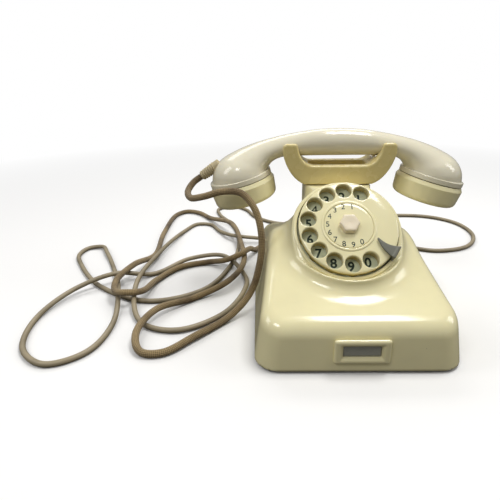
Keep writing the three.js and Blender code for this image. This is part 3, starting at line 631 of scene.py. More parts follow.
def moulded_resin(name, rgba, roughness=0.14, ripple=0.25, dust=0.4, hole_shade_and_yellowing=None):
    """Urea resin moulded in a polished steel tool: a deep gloss over a faintly clouded cream,
    slightly yellower where it is worn, with a few dark dust specks and hairline rubbing. The walls of
    the finger holes and the rim of the wheel are painted a darker golden brown. This is painted shade for those
    hollows, and partly the yellowing of the resin, given by the hole shade colour."""
    material, tree, where = new_material(name)
    at = where.outputs["Object"]
    cloud = add(tree, "ShaderNodeTexNoise", {"Scale": per(38), "Detail": 3.0, "Roughness": 0.6},
                {"Vector": at})
    tone = mixed(tree, spread(tree, cloud.outputs[0], 0.35, 0.7), rgba, shaded(rgba, 0.93))
    # Specks of about 0.5 mm, a few centimetres apart.
    cells = add(tree, "ShaderNodeTexVoronoi", {"Scale": per(9)}, {"Vector": at})
    chance = add(tree, "ShaderNodeSeparateColor", links={0: cells.outputs["Color"]})
    rare = spread(tree, chance.outputs[0], 0.93, 0.96)
    near = spread(tree, cells.outputs["Distance"], 0.045, 0.02)
    speck = add(tree, "ShaderNodeMath", links={0: rare, 1: near}, operation="MULTIPLY")
    fleck = add(tree, "ShaderNodeMath", {1: dust}, {0: speck.outputs[0]}, operation="MULTIPLY")
    tone = mixed(tree, fleck.outputs[0], tone, linear(0x5A4A30))
    # Painted shade: the first millimetres below the wheel's face, in the finger holes and on the rim, are drawn
    # darker golden brown. This is partly the yellowing of the resin.
    if hole_shade_and_yellowing:
        tone = mixed(tree, below_face(tree, where, 4.0), tone, hole_shade_and_yellowing)
    # Handling leaves patches of duller gloss.
    rubbed = add(tree, "ShaderNodeTexNoise", {"Scale": per(14), "Detail": 4.0}, {"Vector": at})
    gloss = add(tree, "ShaderNodeMapRange", {"To Min": roughness * 0.8, "To Max": roughness * 1.45},
                {"Value": rubbed.outputs[0]})
    # The tool's polish ripples the surface every few millimetres by a few hundredths.
    wave = add(tree, "ShaderNodeTexNoise", {"Scale": per(7), "Detail": 1.0}, {"Vector": at})
    bump = add(tree, "ShaderNodeBump", {"Strength": ripple, "Distance": 0.00012}, {"Height": wave.outputs[0]})
    shader = add(tree, "ShaderNodeBsdfPrincipled",
                 {"IOR": 1.56, "Coat Weight": 0.25, "Coat Roughness": 0.06, "Subsurface Weight": 0.06,
                  "Subsurface Radius": (0.004, 0.003, 0.0015), "Subsurface Scale": 0.5},
                 {"Base Color": tone, "Roughness": gloss.outputs[0], "Normal": bump.outputs[0]})
    end_material(tree, shader)
    return material


def enamelled_plate(name, rgba):
    """Vitreous enamel on sheet steel: smooth and cool, with a slight orange peel of 1.5 mm."""
    material, tree, where = new_material(name)
    peel = add(tree, "ShaderNodeTexNoise", {"Scale": per(1.5), "Detail": 2.0},
               {"Vector": where.outputs["Object"]})
    stain = add(tree, "ShaderNodeTexNoise", {"Scale": per(16), "Detail": 4.0},
                {"Vector": where.outputs["Object"]})
    tone = mixed(tree, spread(tree, stain.outputs[0], 0.4, 0.75), rgba, shaded(rgba, 0.85))
    bump = add(tree, "ShaderNodeBump", {"Strength": 0.2, "Distance": 0.00005}, {"Height": peel.outputs[0]})
    shader = add(tree, "ShaderNodeBsdfPrincipled", {"IOR": 1.5, "Roughness": 0.28},
                 {"Base Color": tone, "Normal": bump.outputs[0]})
    end_material(tree, shader)
    return material


def printed_ink(name, rgba):
    """Baked printing ink: dense and half matt, slightly broken at a 0.3 mm grain."""
    material, tree, where = new_material(name)
    grain = add(tree, "ShaderNodeTexNoise", {"Scale": per(0.3), "Detail": 2.0},
                {"Vector": where.outputs["Object"]})
    tone = mixed(tree, spread(tree, grain.outputs[0], 0.55, 0.8), rgba, shaded(rgba, 2.2))
    shader = add(tree, "ShaderNodeBsdfPrincipled", {"Roughness": 0.45}, {"Base Color": tone})
    end_material(tree, shader)
    return material


def metal(name, rgba, roughness, grain_mm, stretch=12.0, metallic=1.0):
    """Plated or drawn metal: fine lines along Z from drawing or brushing, grain_mm apart."""
    material, tree, where = new_material(name)
    lines = add(tree, "ShaderNodeMapping", {"Scale": (1.0, 1.0, 1 / stretch)},
                {"Vector": where.outputs["Object"]})
    grain = add(tree, "ShaderNodeTexNoise", {"Scale": per(grain_mm), "Detail": 3.0},
                {"Vector": lines.outputs[0]})
    tone = mixed(tree, grain.outputs[0], shaded(rgba, 0.86), shaded(rgba, 1.08))
    rough = add(tree, "ShaderNodeMapRange", {"To Min": roughness * 0.75, "To Max": roughness * 1.3},
                {"Value": grain.outputs[0]})
    bump = add(tree, "ShaderNodeBump", {"Strength": 0.25, "Distance": 0.00003}, {"Height": grain.outputs[0]})
    shader = add(tree, "ShaderNodeBsdfPrincipled", {"Metallic": metallic},
                 {"Base Color": tone, "Roughness": rough.outputs[0], "Normal": bump.outputs[0]})
    end_material(tree, shader)
    return material


def soft_moulding(name, rgba, roughness, grain_mm, bump_mm):
    """Rubber, bakelite or vinyl from a dull tool: an even sheen broken by a fine moulded grain."""
    material, tree, where = new_material(name)
    grain = add(tree, "ShaderNodeTexNoise", {"Scale": per(grain_mm), "Detail": 3.0},
                {"Vector": where.outputs["Object"]})
    dirt = add(tree, "ShaderNodeTexNoise", {"Scale": per(22), "Detail": 4.0},
               {"Vector": where.outputs["Object"]})
    tone = mixed(tree, spread(tree, dirt.outputs[0], 0.42, 0.72), rgba, shaded(rgba, 0.72))
    bump = add(tree, "ShaderNodeBump", {"Strength": 0.4, "Distance": bump_mm * MM},
               {"Height": grain.outputs[0]})
    shader = add(tree, "ShaderNodeBsdfPrincipled", {"Roughness": roughness, "IOR": 1.5},
                 {"Base Color": tone, "Normal": bump.outputs[0]})
    end_material(tree, shader)
    return material


def cotton_braid(name, rgba, around, pitch):
    """Cotton braid over the cord: crossing bundles of cotton, painted darker in their hollows as shade and paler
    on their crowns as highlight, darkened by handling along its length. Its UV map is turns round the cord and
    millimetres along it."""
    material, tree, where = new_material(name)
    uv = add(tree, "ShaderNodeSeparateXYZ", links={0: where.outputs["UV"]})
    turns = add(tree, "ShaderNodeMath", {1: 2 * math.pi * around}, {0: uv.outputs["X"]}, operation="MULTIPLY")
    travel = add(tree, "ShaderNodeMath", {1: 2 * math.pi / pitch}, {0: uv.outputs["Y"]}, operation="MULTIPLY")
    crossing = []
    for operation in ("ADD", "SUBTRACT"):
        angle = add(tree, "ShaderNodeMath", links={0: turns.outputs[0], 1: travel.outputs[0]},
                    operation=operation)
        crossing.append(add(tree, "ShaderNodeMath", links={0: angle.outputs[0]}, operation="SINE"))
    weave = add(tree, "ShaderNodeMath", links={0: crossing[0].outputs[0], 1: crossing[1].outputs[0]},
                operation="MULTIPLY")
    crown = spread(tree, weave.outputs[0], -0.75, 0.75)
    fuzz = add(tree, "ShaderNodeTexNoise", {"Scale": per(0.6), "Detail": 3.0},
               {"Vector": where.outputs["Object"]})
    soil = add(tree, "ShaderNodeTexNoise", {"Scale": per(30), "Detail": 3.0},
               {"Vector": where.outputs["Object"]})
    # Painted shade and highlight: darker and paler copies of the braid colour follow the height of the weave.
    braid_with_painted_shade = mixed(tree, crown, shaded(rgba, 0.42), shaded(rgba, 1.25))
    braid_with_painted_shade = mixed(tree, spread(tree, fuzz.outputs[0], 0.45, 0.8), braid_with_painted_shade, shaded(rgba, 0.75))
    tone = mixed(tree, spread(tree, soil.outputs[0], 0.45, 0.7), braid_with_painted_shade, linear(0x57452C))
    bump = add(tree, "ShaderNodeBump", {"Strength": 0.9, "Distance": 0.0004}, {"Height": crown})
    shader = add(tree, "ShaderNodeBsdfPrincipled",
                 {"Roughness": 0.85, "Sheen Weight": 0.25, "Sheen Roughness": 0.5},
                 {"Base Color": tone, "Normal": bump.outputs[0]})
    end_material(tree, shader)
    return material


def clear_window(name):
    """Thin clear sheet over the name card: mostly a reflection, with a grey cast."""
    material, tree, where = new_material(name)
    smear = add(tree, "ShaderNodeTexNoise", {"Scale": per(6), "Detail": 3.0},
                {"Vector": where.outputs["Object"]})
    rough = add(tree, "ShaderNodeMapRange", {"To Min": 0.04, "To Max": 0.16}, {"Value": smear.outputs[0]})
    shader = add(tree, "ShaderNodeBsdfPrincipled",
                 {"Base Color": linear(0xA9AAA2), "IOR": 1.49, "Alpha": 0.22},
                 {"Roughness": rough.outputs[0]})
    end_material(tree, shader)
    return material


def card_paper(name):
    """Plain card gone grey behind the window, with fibres about 0.4 mm long."""
    material, tree, where = new_material(name)
    fibre = add(tree, "ShaderNodeTexNoise", {"Scale": per(0.4), "Detail": 4.0},
                {"Vector": where.outputs["Object"]})
    tone = mixed(tree, fibre.outputs[0], linear(0xA6A69C), linear(0xC2C2B6))
    shader = add(tree, "ShaderNodeBsdfPrincipled", {"Roughness": 0.9}, {"Base Color": tone})
    end_material(tree, shader)
    return material


MATERIALS = {}


def finish_named(name):
    """The material of a slot, made when it is first asked for."""
    if name not in MATERIALS:
        recipes = {
            "ivory_gloss": lambda: moulded_resin("Ivory urea resin", tint("ivory")),
            # The wheel's resin has painted shade in its finger holes and on its rim.
            "ivory_wheel": lambda: moulded_resin("Shaded hole ivory resin", tint("ivory"),
                                                 hole_shade_and_yellowing=tint("hole_shade_and_yellowing")),
            "ivory_pale": lambda: moulded_resin("Pale ivory urea resin", tint("pale_ivory"), 0.13, dust=0.2),
            "ivory_cradle": lambda: moulded_resin("Aged ivory resin", tint("aged_ivory"), 0.24, dust=0.3),
            "nut_cream": lambda: moulded_resin("Cream nut resin", tint("nut"), 0.35, dust=0.2),
            "number_plate": lambda: enamelled_plate("Enamelled steel plate", tint("plate")),
            "digits": lambda: printed_ink("Baked ink", tint("digits")),
            "finger_stop": lambda: metal("Lacquered steel", tint("finger_stop"), 0.42, 0.6, metallic=0.35),
            "steel": lambda: metal("Zinc plated steel", linear(0xA6A6A2), 0.38, 0.4),
            "brass": lambda: metal("Turned brass", linear(0xB8965A), 0.3, 0.3),
            "copper_winding": lambda: metal("Enamelled copper wire", linear(0x8E5630), 0.4, 0.25, 0.1),
            "dark_plastic": lambda: soft_moulding("Black moulded resin", linear(0x2B2A28), 0.38, 0.8, 0.05),
            "bakelite": lambda: soft_moulding("Brown bakelite", linear(0x4A2F1E), 0.25, 1.2, 0.03),
            "rubber": lambda: soft_moulding("Black rubber", linear(0x2A2826), 0.8, 0.5, 0.1),
            "cord_sleeve": lambda: soft_moulding("Beige rubber sleeve", linear(0xC4B58F), 0.55, 0.6, 0.08),
            "braided_cord": lambda: cotton_braid("Cotton braid", tint("braid"), 7, 2.7),
            "line_cord": lambda: soft_moulding("Beige vinyl sheath", tint("vinyl"), 0.42, 1.0, 0.05),
            "paper": lambda: card_paper("Grey card"),
            "window": lambda: clear_window("Clear window sheet"),
        }
        MATERIALS[name] = recipes[name]()
    return MATERIALS[name]


# ------------------------------------------------------------------ stage
def studio_floor(name):
    """Seamless pale floor: it takes the object's shadow, and fades to plain white further out.
    What it throws back on the object is that of a grey table."""
    material, tree, where = new_material(name)
    ray = add(tree, "ShaderNodeLightPath").outputs["Is Camera Ray"]
    tone = mixed(tree, ray, linear(0x5C584E), linear(0xF6F5F3))
    matt = add(tree, "ShaderNodeBsdfPrincipled", {"Roughness": 0.85}, {"Base Color": tone})
    white = add(tree, "ShaderNodeEmission", {"Color": linear(0xFFFFFF)})
    distance = add(tree, "ShaderNodeVectorMath", links={0: where.outputs["Object"]}, operation="LENGTH")
    far = spread(tree, distance.outputs["Value"], 0.3, 1.0)
    seen = add(tree, "ShaderNodeMath", links={0: far, 1: ray}, operation="MULTIPLY")
    end_material(tree, add(tree, "ShaderNodeMixShader", links={0: seen.outputs[0], 1: matt.outputs[0],
                                                               2: white.outputs[0]}))
    return material


def studio_world(name):
    """White round the camera's view, and an even grey where it lights the object."""
    world = bpy.data.worlds.new(name)
    world.use_nodes = True
    tree = world.node_tree
    ray = add(tree, "ShaderNodeLightPath").outputs["Is Camera Ray"]
    strength = add(tree, "ShaderNodeMapRange", {"To Min": 0.28, "To Max": 1.0}, {"Value": ray})
    light = tree.nodes["Background"]
    light.inputs["Color"].default_value = linear(0xFFFFFF)
    tree.links.new(strength.outputs[0], light.inputs["Strength"])
    return world


class TELEPHONE_OT_stage(bpy.types.Operator):
    """Makes the floor, the soft studio light and the camera."""
    bl_idname = "telephone.stage"
    bl_label = "Stage"

    def execute(self, context):
        scene = context.scene
        half = 6.0
        floor_mesh = bpy.data.meshes.new("floor")
        floor_mesh.from_pydata([(-half, -half, 0), (half, -half, 0), (half, half, 0), (-half, half, 0)], [],
                               [(0, 1, 2, 3)])
        floor_mesh.materials.append(studio_floor("Pale floor"))
        floor = bpy.data.objects.new("floor", floor_mesh)
        scene.collection.objects.link(floor)
        scene.world = studio_world("Studio")
        scene.view_settings.view_transform = "Standard"

        middle = Vector((0, 0, 0.08))
        lamps = (
            ("ceiling softbox", (0.24, 0.02, 1.05), (0.44, 0.3), 5.2),
            ("rear softbox", (-0.1, 0.75, 0.85), (1.1, 0.4), 3.6),
            ("key softbox", (-0.4, -0.5, 0.85), (0.3, 0.22), 1.9),
            ("left softbox", (-0.85, -0.1, 0.65), (0.3, 0.5), 1.6),
            ("right softbox", (0.85, -0.05, 0.6), (0.25, 0.5), 1.6),
        )
        for name, place, extent, watts in lamps:
            lamp = bpy.data.lights.new(name, "AREA")
            lamp.shape = "RECTANGLE"
            lamp.size, lamp.size_y = extent
            lamp.energy = watts
            made = bpy.data.objects.new(name, lamp)
            scene.collection.objects.link(made)
            made.location = place
            made.rotation_euler = (middle - Vector(place)).to_track_quat("-Z", "Y").to_euler()

        camera = bpy.data.cameras.new("camera")
        camera.lens = 30.15
        camera.sensor_width = 36
        camera.shift_x = -0.0098
        camera.shift_y = -0.0483
        made = bpy.data.objects.new("camera", camera)
        scene.collection.objects.link(made)
        forward = Vector((-0.0117, 0.9381, -0.3461)).normalized()
        right = Vector((0.99990, 0.00825, -0.01143))
        right = (right - forward * right.dot(forward)).normalized()
        up = right.cross(forward)
        turned_to = Matrix((right, up, -forward)).transposed()
        made.matrix_world = Matrix.Translation((-0.0710, -0.3367, 0.2031)) @ turned_to.to_4x4()
        scene.camera = made
        return {"FINISHED"}


# ------------------------------------------------------------------ cords
# Points along the middle of each cord, the same as in the working model. At each crossing their
# heights carry one strand over the other.
HANDSET_ROUTE = (
    (-125.5, 47, 111.25), (-132.5, 44.8, 106.4), (-137, 36.5, 100), (-133, 25, 97), (-120, 15, 101),
    (-103, 10.5, 106.5), (-87, 7.5, 106), (-75, 2, 93), (-69.5, -5, 70), (-72, -9, 44),
    (-80, -13, 21), (-97, -24, 5.25), (-124, -52, 4), (-146, -72, 3.25), (-163, -71, 3.5),
    (-171, -52, 7.5), (-162, -18, 8.5), (-134, 10, 3.25), (-104, 32, 8.25), (-89, 72, 9.75),
    (-94, 128, 11), (-108, 182, 15.5), (-143, 238, 4), (-163, 264, 3.5), (-181, 271, 3.25),
    (-194, 257, 3.25), (-198, 180, 3.5), (-193, 105, 4.75), (-203, 60, 14.75), (-211, 26, 14),
    (-206, 7.5, 12.25), (-194, 0.5, 14.75), (-182.5, 9.5, 11), (-177, 46, 3.75), (-158, 76, 3.75),
    (-130, 88, 3.75), (-108, 80, 10), (-93, 80.5, 16.25), (-83, 98, 15.25), (-76, 122, 4),
    (-66, 136, 4), (-53, 137, 6.5), (-44, 125, 12.5), (-42, 115, 14),
)
LINE_ROUTE = (
    (42, 115, 14), (42.6, 123, 12.5), (49, 136, 6), (66, 146, 3), (98, 134, 2.5),
    (136, 118, 2.5), (178, 130, 2.5), (203, 168, 2.5), (201, 212, 2.5), (172, 240, 2.5),
    (110, 246, 2.5), (20, 220, 2.5), (-42, 216, 2.5), (-76, 244, 2.5), (-92, 280, 2.5),
    (-114, 298, 2.5), (-134, 284, 2.5), (-130, 256, 2.5), (-108, 210, 2.5), (-97, 150, 2.5),
    (-104, 80, 2.5), (-128, 26, 2.5), (-175, 6, 2.5), (-230, 34, 2.5), (-272, 88, 2.5),
    (-284, 114, 2.5), (-280, 133, 2.6), (-264, 135, 3.5), (-252, 116, 4.25), (-232, 78, 2.5), (-208, 20, 8),
    (-197, -32, 3), (-205, -70, 2.5), (-230, -84, 2.5), (-256, -66, 2.5), (-267, -22, 3),
    (-251, 22, 7), (-218, 46, 11.5), (-184, 62, 2.75), (-150, 92, 6.25), (-112, 92, 9.75),
    (-88, 60, 2.5), (-86, 22, 5.5), (-104, -18, 3.25), (-140, -42, 3), (-173, -30, 2.75),
    (-192, 24, 9.25), (-186, 110, 8.5), (-172, 188, 2.75), (-158, 216, 2.5), (-140, 214, 2.5),
    (-124, 186, 3), (-104, 158, 7.75), (-70, 150, 7), (-42, 152, 4.5), (-24, 152, 7),
)


def cord_mesh(name, path, diameter, around):
    """A round tube along a path, with a UV map of turns round it and millimetres along it."""
    tangents = np.gradient(path, axis=0)
    tangents /= np.linalg.norm(tangents, axis=1, keepdims=True)
    side = np.cross(tangents[0], [0, 0, 1.0])
    side /= np.linalg.norm(side)
    rings = []
    for point, tangent in zip(path, tangents):
        side = side - tangent * (side @ tangent)
        side /= np.linalg.norm(side)
        other = np.cross(tangent, side)
        angles = np.arange(around) * 2 * np.pi / around
        rings.append(point + diameter / 2 * (np.outer(np.cos(angles), side)
                                             + np.outer(np.sin(angles), other)))
    points, faces = lofted(rings)
    travel = np.concatenate([[0], np.cumsum(np.linalg.norm(np.diff(path, axis=0), axis=1))])
    mesh = bpy.data.meshes.new(name)
    mesh.from_pydata((points * MM).tolist(), [], faces)
    uv = mesh.uv_layers.new(name="Along the cord")
    for face in mesh.polygons:
        corners = [divmod(mesh.loops[i].vertex_index, around) for i in face.loop_indices]
        wraps = {k for _, k in corners} >= {0, around - 1} and len(corners) == 4
        for i, (ring, k) in zip(face.loop_indices, corners):
            turns = 1.0 if wraps and k == 0 else k / around
            uv.data[i].uv = (turns, travel[ring])
    mesh.shade_smooth()
    return mesh, travel[-1]


class TELEPHONE_OT_cords(bpy.types.Operator):
    """Makes the braided handset cord and the line cord, lying in loose loops."""
    bl_idname = "telephone.cords"
    bl_label = "Cords"

    def execute(self, context):
        s = sizes()
        path = smooth_path(HANDSET_ROUTE, 12)
        mesh, travel = cord_mesh("handset_cord_braid", path, s["handset_cord"], 20)
        made = adopted("handset_cord_braid", mesh, finish_named("braided_cord"), None,
                       ("handset_cord",))
        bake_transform(made)
        path = smooth_path(LINE_ROUTE, 12)
        mesh, travel = cord_mesh("line_cord_sheath", path, s["line_cord"], 16)
        made = adopted("line_cord_sheath", mesh, finish_named("line_cord"), "root",
                       ("line_cord",))
        plug = make_plug()
        return {"FINISHED"}


def make_plug():
    """Plug of the line cord: a soft-edged block with finger grooves and four contact pins."""
    low, high = box_mm("line_plug")
    pin_length = 12
    body_high = high[0] - pin_length
    centre = np.array([(low[0] + body_high) / 2, (low[1] + high[1]) / 2, (low[2] + high[2]) / 2])
    half = np.array([(body_high - low[0]) / 2, (high[1] - low[1]) / 2, (high[2] - low[2]) / 2])

    def block(p):
        x, y, z = (p - centre).T
        groove = 0.7 * np.exp(-((np.mod(x + 12, 4) - 2) / 0.8) ** 2) * (np.abs(x + 4) < 8)
        return soft_max(rounded_box(x, y, half[0], half[1] - groove, 6), np.abs(z) - half[2], 3.5)

    points, faces, _ = skin(block, centre - half - 2, centre + half + 2, 0.9)
    pins, pin_faces = grown(round_pins_tree(), {
        "Count": 4, "Circle radius": 0.0055, "Pin radius": 0.0016, "Pin length": 2 * pin_length * MM})
    pins = np.stack([pins[:, 2] + body_high, pins[:, 0] + centre[1], pins[:, 1] + centre[2]], 1)
    points, faces = joined((points, faces), (pins, pin_faces))
    return piece("line_plug_block", points, faces, finish_named("dark_plastic"), "root", "dark_plastic",
                 ("line_plug",))


class TELEPHONE_OT_sleeves(bpy.types.Operator):
    """Makes the ribbed rubber sleeves where the cords leave the handset and the housing."""
    bl_idname = "telephone.sleeves"
    bl_label = "Cord sleeves"

    def execute(self, context):
        ribs = ribs_tree()
        ends = [("handset_gland", "handset", (-107.5, HANDSET_Y, 123), (-124.9, HANDSET_Y, 111.65), 5.2, 3.9)]
        for node in ("handset_outlet_gland", "line_outlet_gland"):
            low, high = box_mm(node)
            x, z = (low[0] + high[0]) / 2, (low[2] + high[2]) / 2
            ends.append((node, "root", (x, low[1], z), (x, high[1], z), 4.2, 3.4))
        for node, body, start, end, wide, narrow in ends:
            reach = math.dist(start, end)
            outline = rounded([(0, 0, 0), (wide, 0, 0.4), (wide * 0.97, reach * 0.25, 2),
                               (narrow, reach, 0.6), (0, reach, 0)])
            sleeve = turned(outline, 48)
            rings = grown(ribs, {"Count": 7, "Length": reach * 0.62 * MM, "Wide radius": wide * 0.97 * MM,
                                 "Narrow radius": (narrow + 0.25) * MM, "Rib radius": 0.00055})
            rings = (rings[0] + [0, 0, reach * 0.3], rings[1])
            points, faces = joined(sleeve, rings)
            piece(node + "_sleeve", between(points, start, end), faces, finish_named("cord_sleeve"), body,
                  "cord_sleeve", (node,))
        return {"FINISHED"}


# ------------------------------------------------------------------ housing
FRONT_TOP_Y, FRONT_TOP = -84.0, 38.5   # front edge of the sloping top
RIDGE_Y, RIDGE_TOP = 12.0, 69.5        # its ridge
REAR_TOP = 50.0                        # its rear edge
FOOT = HOUSING_LOW[2]                  # underside of the walls
NECK_TOP = 106.0
FRONT_SLOPE = (RIDGE_TOP - FRONT_TOP) / (RIDGE_Y - FRONT_TOP_Y)
REAR_SLOPE = (REAR_TOP - RIDGE_TOP) / (HOUSING_HIGH[1] - RIDGE_Y)


def top_height(y):
    """Height of the sloping top: two planes that meet in a soft ridge."""
    soft = 12
    t = y - RIDGE_Y
    rise = FRONT_SLOPE * np.minimum(t, 0) + REAR_SLOPE * np.maximum(t, 0)
    eased = (FRONT_SLOPE - REAR_SLOPE) * np.maximum(soft - np.abs(t), 0) ** 2 / (4 * soft)
    return RIDGE_TOP + rise - eased


def top_inset(y):
    """How far the top edge stands in from the foot of the wall."""
    t = y - RIDGE_Y
    far = np.where(t < 0, 3.0, 8.0)
    span = np.where(t < 0, RIDGE_Y - HOUSING_LOW[1], HOUSING_HIGH[1] - RIDGE_Y)
    share = np.clip(np.sqrt((t / span) ** 2 + 0.002), 0, 1)
    return 14 + (far - 14) * share ** 1.3


def dial_axes(p):
    """Distance from the dial's axis and height over the wheel's face."""
    q = p - DIAL_CENTRE
    height = q @ DIAL_OUT
    return np.sqrt(np.maximum((q ** 2).sum(1) - height ** 2, 0)), height


def housing_form(p, s):
    """Outer form of the housing: a wedge with soft shoulders, the dial seat and the neck."""
    x, y, z = p.T
    middle = (HOUSING_LOW[1] + HOUSING_HIGH[1]) / 2
    half = (HOUSING_HIGH[1] - HOUSING_LOW[1]) / 2
    lean = top_inset(y) * np.clip((z - FOOT) / (top_height(y) - FOOT), 0, 1.2)
    wall = rounded_box(x, y - middle, HOUSING_HIGH[0] - lean, half - lean, s["corner"])
    body = soft_max(wall, (z - top_height(y)) * 0.95, s["shoulder"])
    radius, height = dial_axes(p)
    seat = radius - s["mound_radius"] - 0.10 * np.maximum(SEAT - height, 0)
    seat = np.maximum(seat, -height - 62)
    neck = rounded_box(x, y - HANDSET_Y, s["neck_half_width"], 22, 10)
    neck = np.maximum(neck, z - NECK_TOP - 6)
    upper = soft_min(seat, neck, 12)
    form = soft_min(upper, body, s["mound_sweep"])
    # Nothing stands over the dial's seat or the neck's top.
    above_seat = np.minimum(height - SEAT, s["mound_radius"] + 1 - radius)
    above_neck = np.minimum(z - NECK_TOP, np.maximum(radius - s["mound_radius"], y - 27))
    return soft_max(soft_max(form, above_seat, 3.0), above_neck, 1.6)


class TELEPHONE_OT_housing(bpy.types.Operator):
    """Makes the moulded housing with its open underside and the bore for the dial."""
    bl_idname = "telephone.housing"
    bl_label = "Housing"

    def execute(self, context):
        s = sizes()
        card_middle = (box_mm("card_frame")[0][2] + box_mm("card_frame")[1][2]) / 2

        def shell(p):
            form = housing_form(p, s)
            radius, height = dial_axes(p)
            solid = np.maximum(form, -form - s["wall"])
            bore = np.maximum(radius - 41.2, -height - 40)
            solid = soft_max(solid, -bore, 1.2)
            window = rounded_box(p[:, 0], p[:, 2] - card_middle, 18, 8, 1)
            solid = np.maximum(solid, -np.maximum(window, p[:, 1] + 90.4))
            for side in (-1, 1):
                rod = np.hypot(p[:, 0] - side * 14, p[:, 1] - HANDSET_Y) - 3.9
                solid = np.maximum(solid, -np.maximum(rod, 90 - p[:, 2]))
            return soft_max(solid, FOOT - p[:, 2], 1.2)

        low = HOUSING_LOW - 3
        high = np.array([HOUSING_HIGH[0] + 3, HOUSING_HIGH[1] + 3, 120])
        points, faces, normals = skin(shell, low, high, 1.5)
        piece("housing_shell", points, faces, finish_named("ivory_gloss"), "root", "ivory_gloss",
              ("housing",), normals)
        return {"FINISHED"}


class TELEPHONE_OT_card_holder(bpy.types.Operator):
    """Makes the frame on the front wall, round the opening of its window and name card."""
    bl_idname = "telephone.card_holder"
    bl_label = "Card holder"

    def execute(self, context):
        low, high = box_mm("card_frame")
        centre, half = (low + high) / 2, (high - low) / 2
        window = (box_mm("card_window")[1] - box_mm("card_window")[0]) / 2 + 0.3

        def rim(p):
            x, y, z = (p - centre).T
            front = -half[1]
            grow = np.clip((front + 1.8 - y) / 1.8, 0, 1.6) * 1.8
            outer = soft_max(rounded_box(x, z, half[0], half[2], 2.2), np.abs(y) - half[1], 2.6)
            inner = rounded_box(x, z, window[0] + grow, window[2] + grow, 0.8)
            return soft_max(outer, -inner, 1.1)

        points, faces, normals = skin(rim, low - 1, high + 1, 0.42)
        piece("card_frame_rim", points, faces, finish_named("ivory_gloss"), "root", "ivory_gloss",
              ("card_frame",), normals)
        return {"FINISHED"}


# ------------------------------------------------------------------ dial
class TELEPHONE_OT_finger_wheel(bpy.types.Operator):
    """Makes the finger wheel: a thick disc with ten round-edged holes and a raised ring."""
    bl_idname = "telephone.finger_wheel"
    bl_label = "Finger wheel"

    def execute(self, context):
        s = sizes()
        low = PLATE_TOP + 0.6   # the holes' sleeves reach nearly down to the plate

        def wheel(p):
            x, y, h = p.T
            radius = np.hypot(x, y)
            crown = 0.9 * np.clip((radius - 30) / 10, 0, 1) ** 2
            disc = soft_max(radius - s["wheel_radius"], h + crown, 1.6)
            disc = soft_max(disc, -h - s["wheel_thickness"], 0.9)
            ring = soft_max(np.abs(radius - s["disc_radius"] - 1.35) - 1.05, h - 0.8, 0.7)
            disc = soft_min(disc, np.maximum(ring, -h - 1.5), 0.5)
            sink = soft_max(radius - s["disc_radius"] - 0.35, -h - 0.3, 0.3)
            disc = np.maximum(disc, -sink)
            for k in range(int(s["holes"])):
                angle = s["first_hole"] - k * s["hole_step"]
                gap = np.hypot(x - s["hole_circle"] * math.sin(angle), y - s["hole_circle"] * math.cos(angle))
                sleeve = np.maximum(gap - s["hole_radius"] - 1.3, np.maximum(low - h, h + 2))
                disc = soft_max(np.minimum(disc, sleeve), s["hole_radius"] - gap, 1.1)
            return disc

        reach = s["wheel_radius"] + 1
        points, faces, normals = skin(wheel, (-reach, -reach, low - 1), (reach, reach, 2), 0.52)
        piece("finger_wheel_disc", on_dial(points), faces, finish_named("ivory_wheel"), "dial", "ivory_gloss",
              ("finger_wheel",), dial_normals(normals))
        return {"FINISHED"}


class TELEPHONE_OT_number_disc(bpy.types.Operator):
    """Makes the disc in the middle of the wheel, its small digits and the hexagonal nut."""
    bl_idname = "telephone.number_disc"
    bl_label = "Number disc and nut"

    def execute(self, context):
        s = sizes()
        edge = s["disc_radius"]
        disc = turned(rounded([(0, -0.2, 0), (edge, -0.2, 0), (edge, 0.6, 0.3), (edge - 2, 0.75, 1),
                               (0, 0.75, 0)]))
        piece("number_disc_face", on_dial(disc[0]), disc[1], finish_named("ivory_gloss"), "dial",
              "ivory_gloss", ("number_disc",))
        digits = ring_of_digits(s["disc_digit"], DISC_DIGIT_WEIGHT, DISC_DIGIT_CIRCLE, DISC_FIRST_DIGIT,
                                DISC_DIGIT_STEP, 0.76)
        piece("number_disc_digits", *digits, finish_named("digits"), "dial", weld=False)
        low, high = 0.76, 6.2

        def nut(p):
            x, y, h = p.T
            apothem = s["nut_radius"] * math.cos(math.pi / 6)
            sides = None
            for degrees in (30, 90, 150):
                across = np.abs(x * math.cos(math.radians(degrees))
                                + y * math.sin(math.radians(degrees))) - apothem
                sides = across if sides is None else soft_max(sides, across, 0.9)
            dish = 0.25 * np.clip(1 - np.hypot(x, y) / 5, 0, 1)
            return soft_max(soft_max(sides, h - high + dish, 1.5), low - h, 0.3)

        points, faces, normals = skin(nut, (-9, -9, -1), (9, 9, 8), 0.3)
        piece("clamp_nut_hexagon", on_dial(points), faces, finish_named("nut_cream"), "dial", "nut_cream",
              ("disc_clamp_nut",), dial_normals(normals))
        return {"FINISHED"}


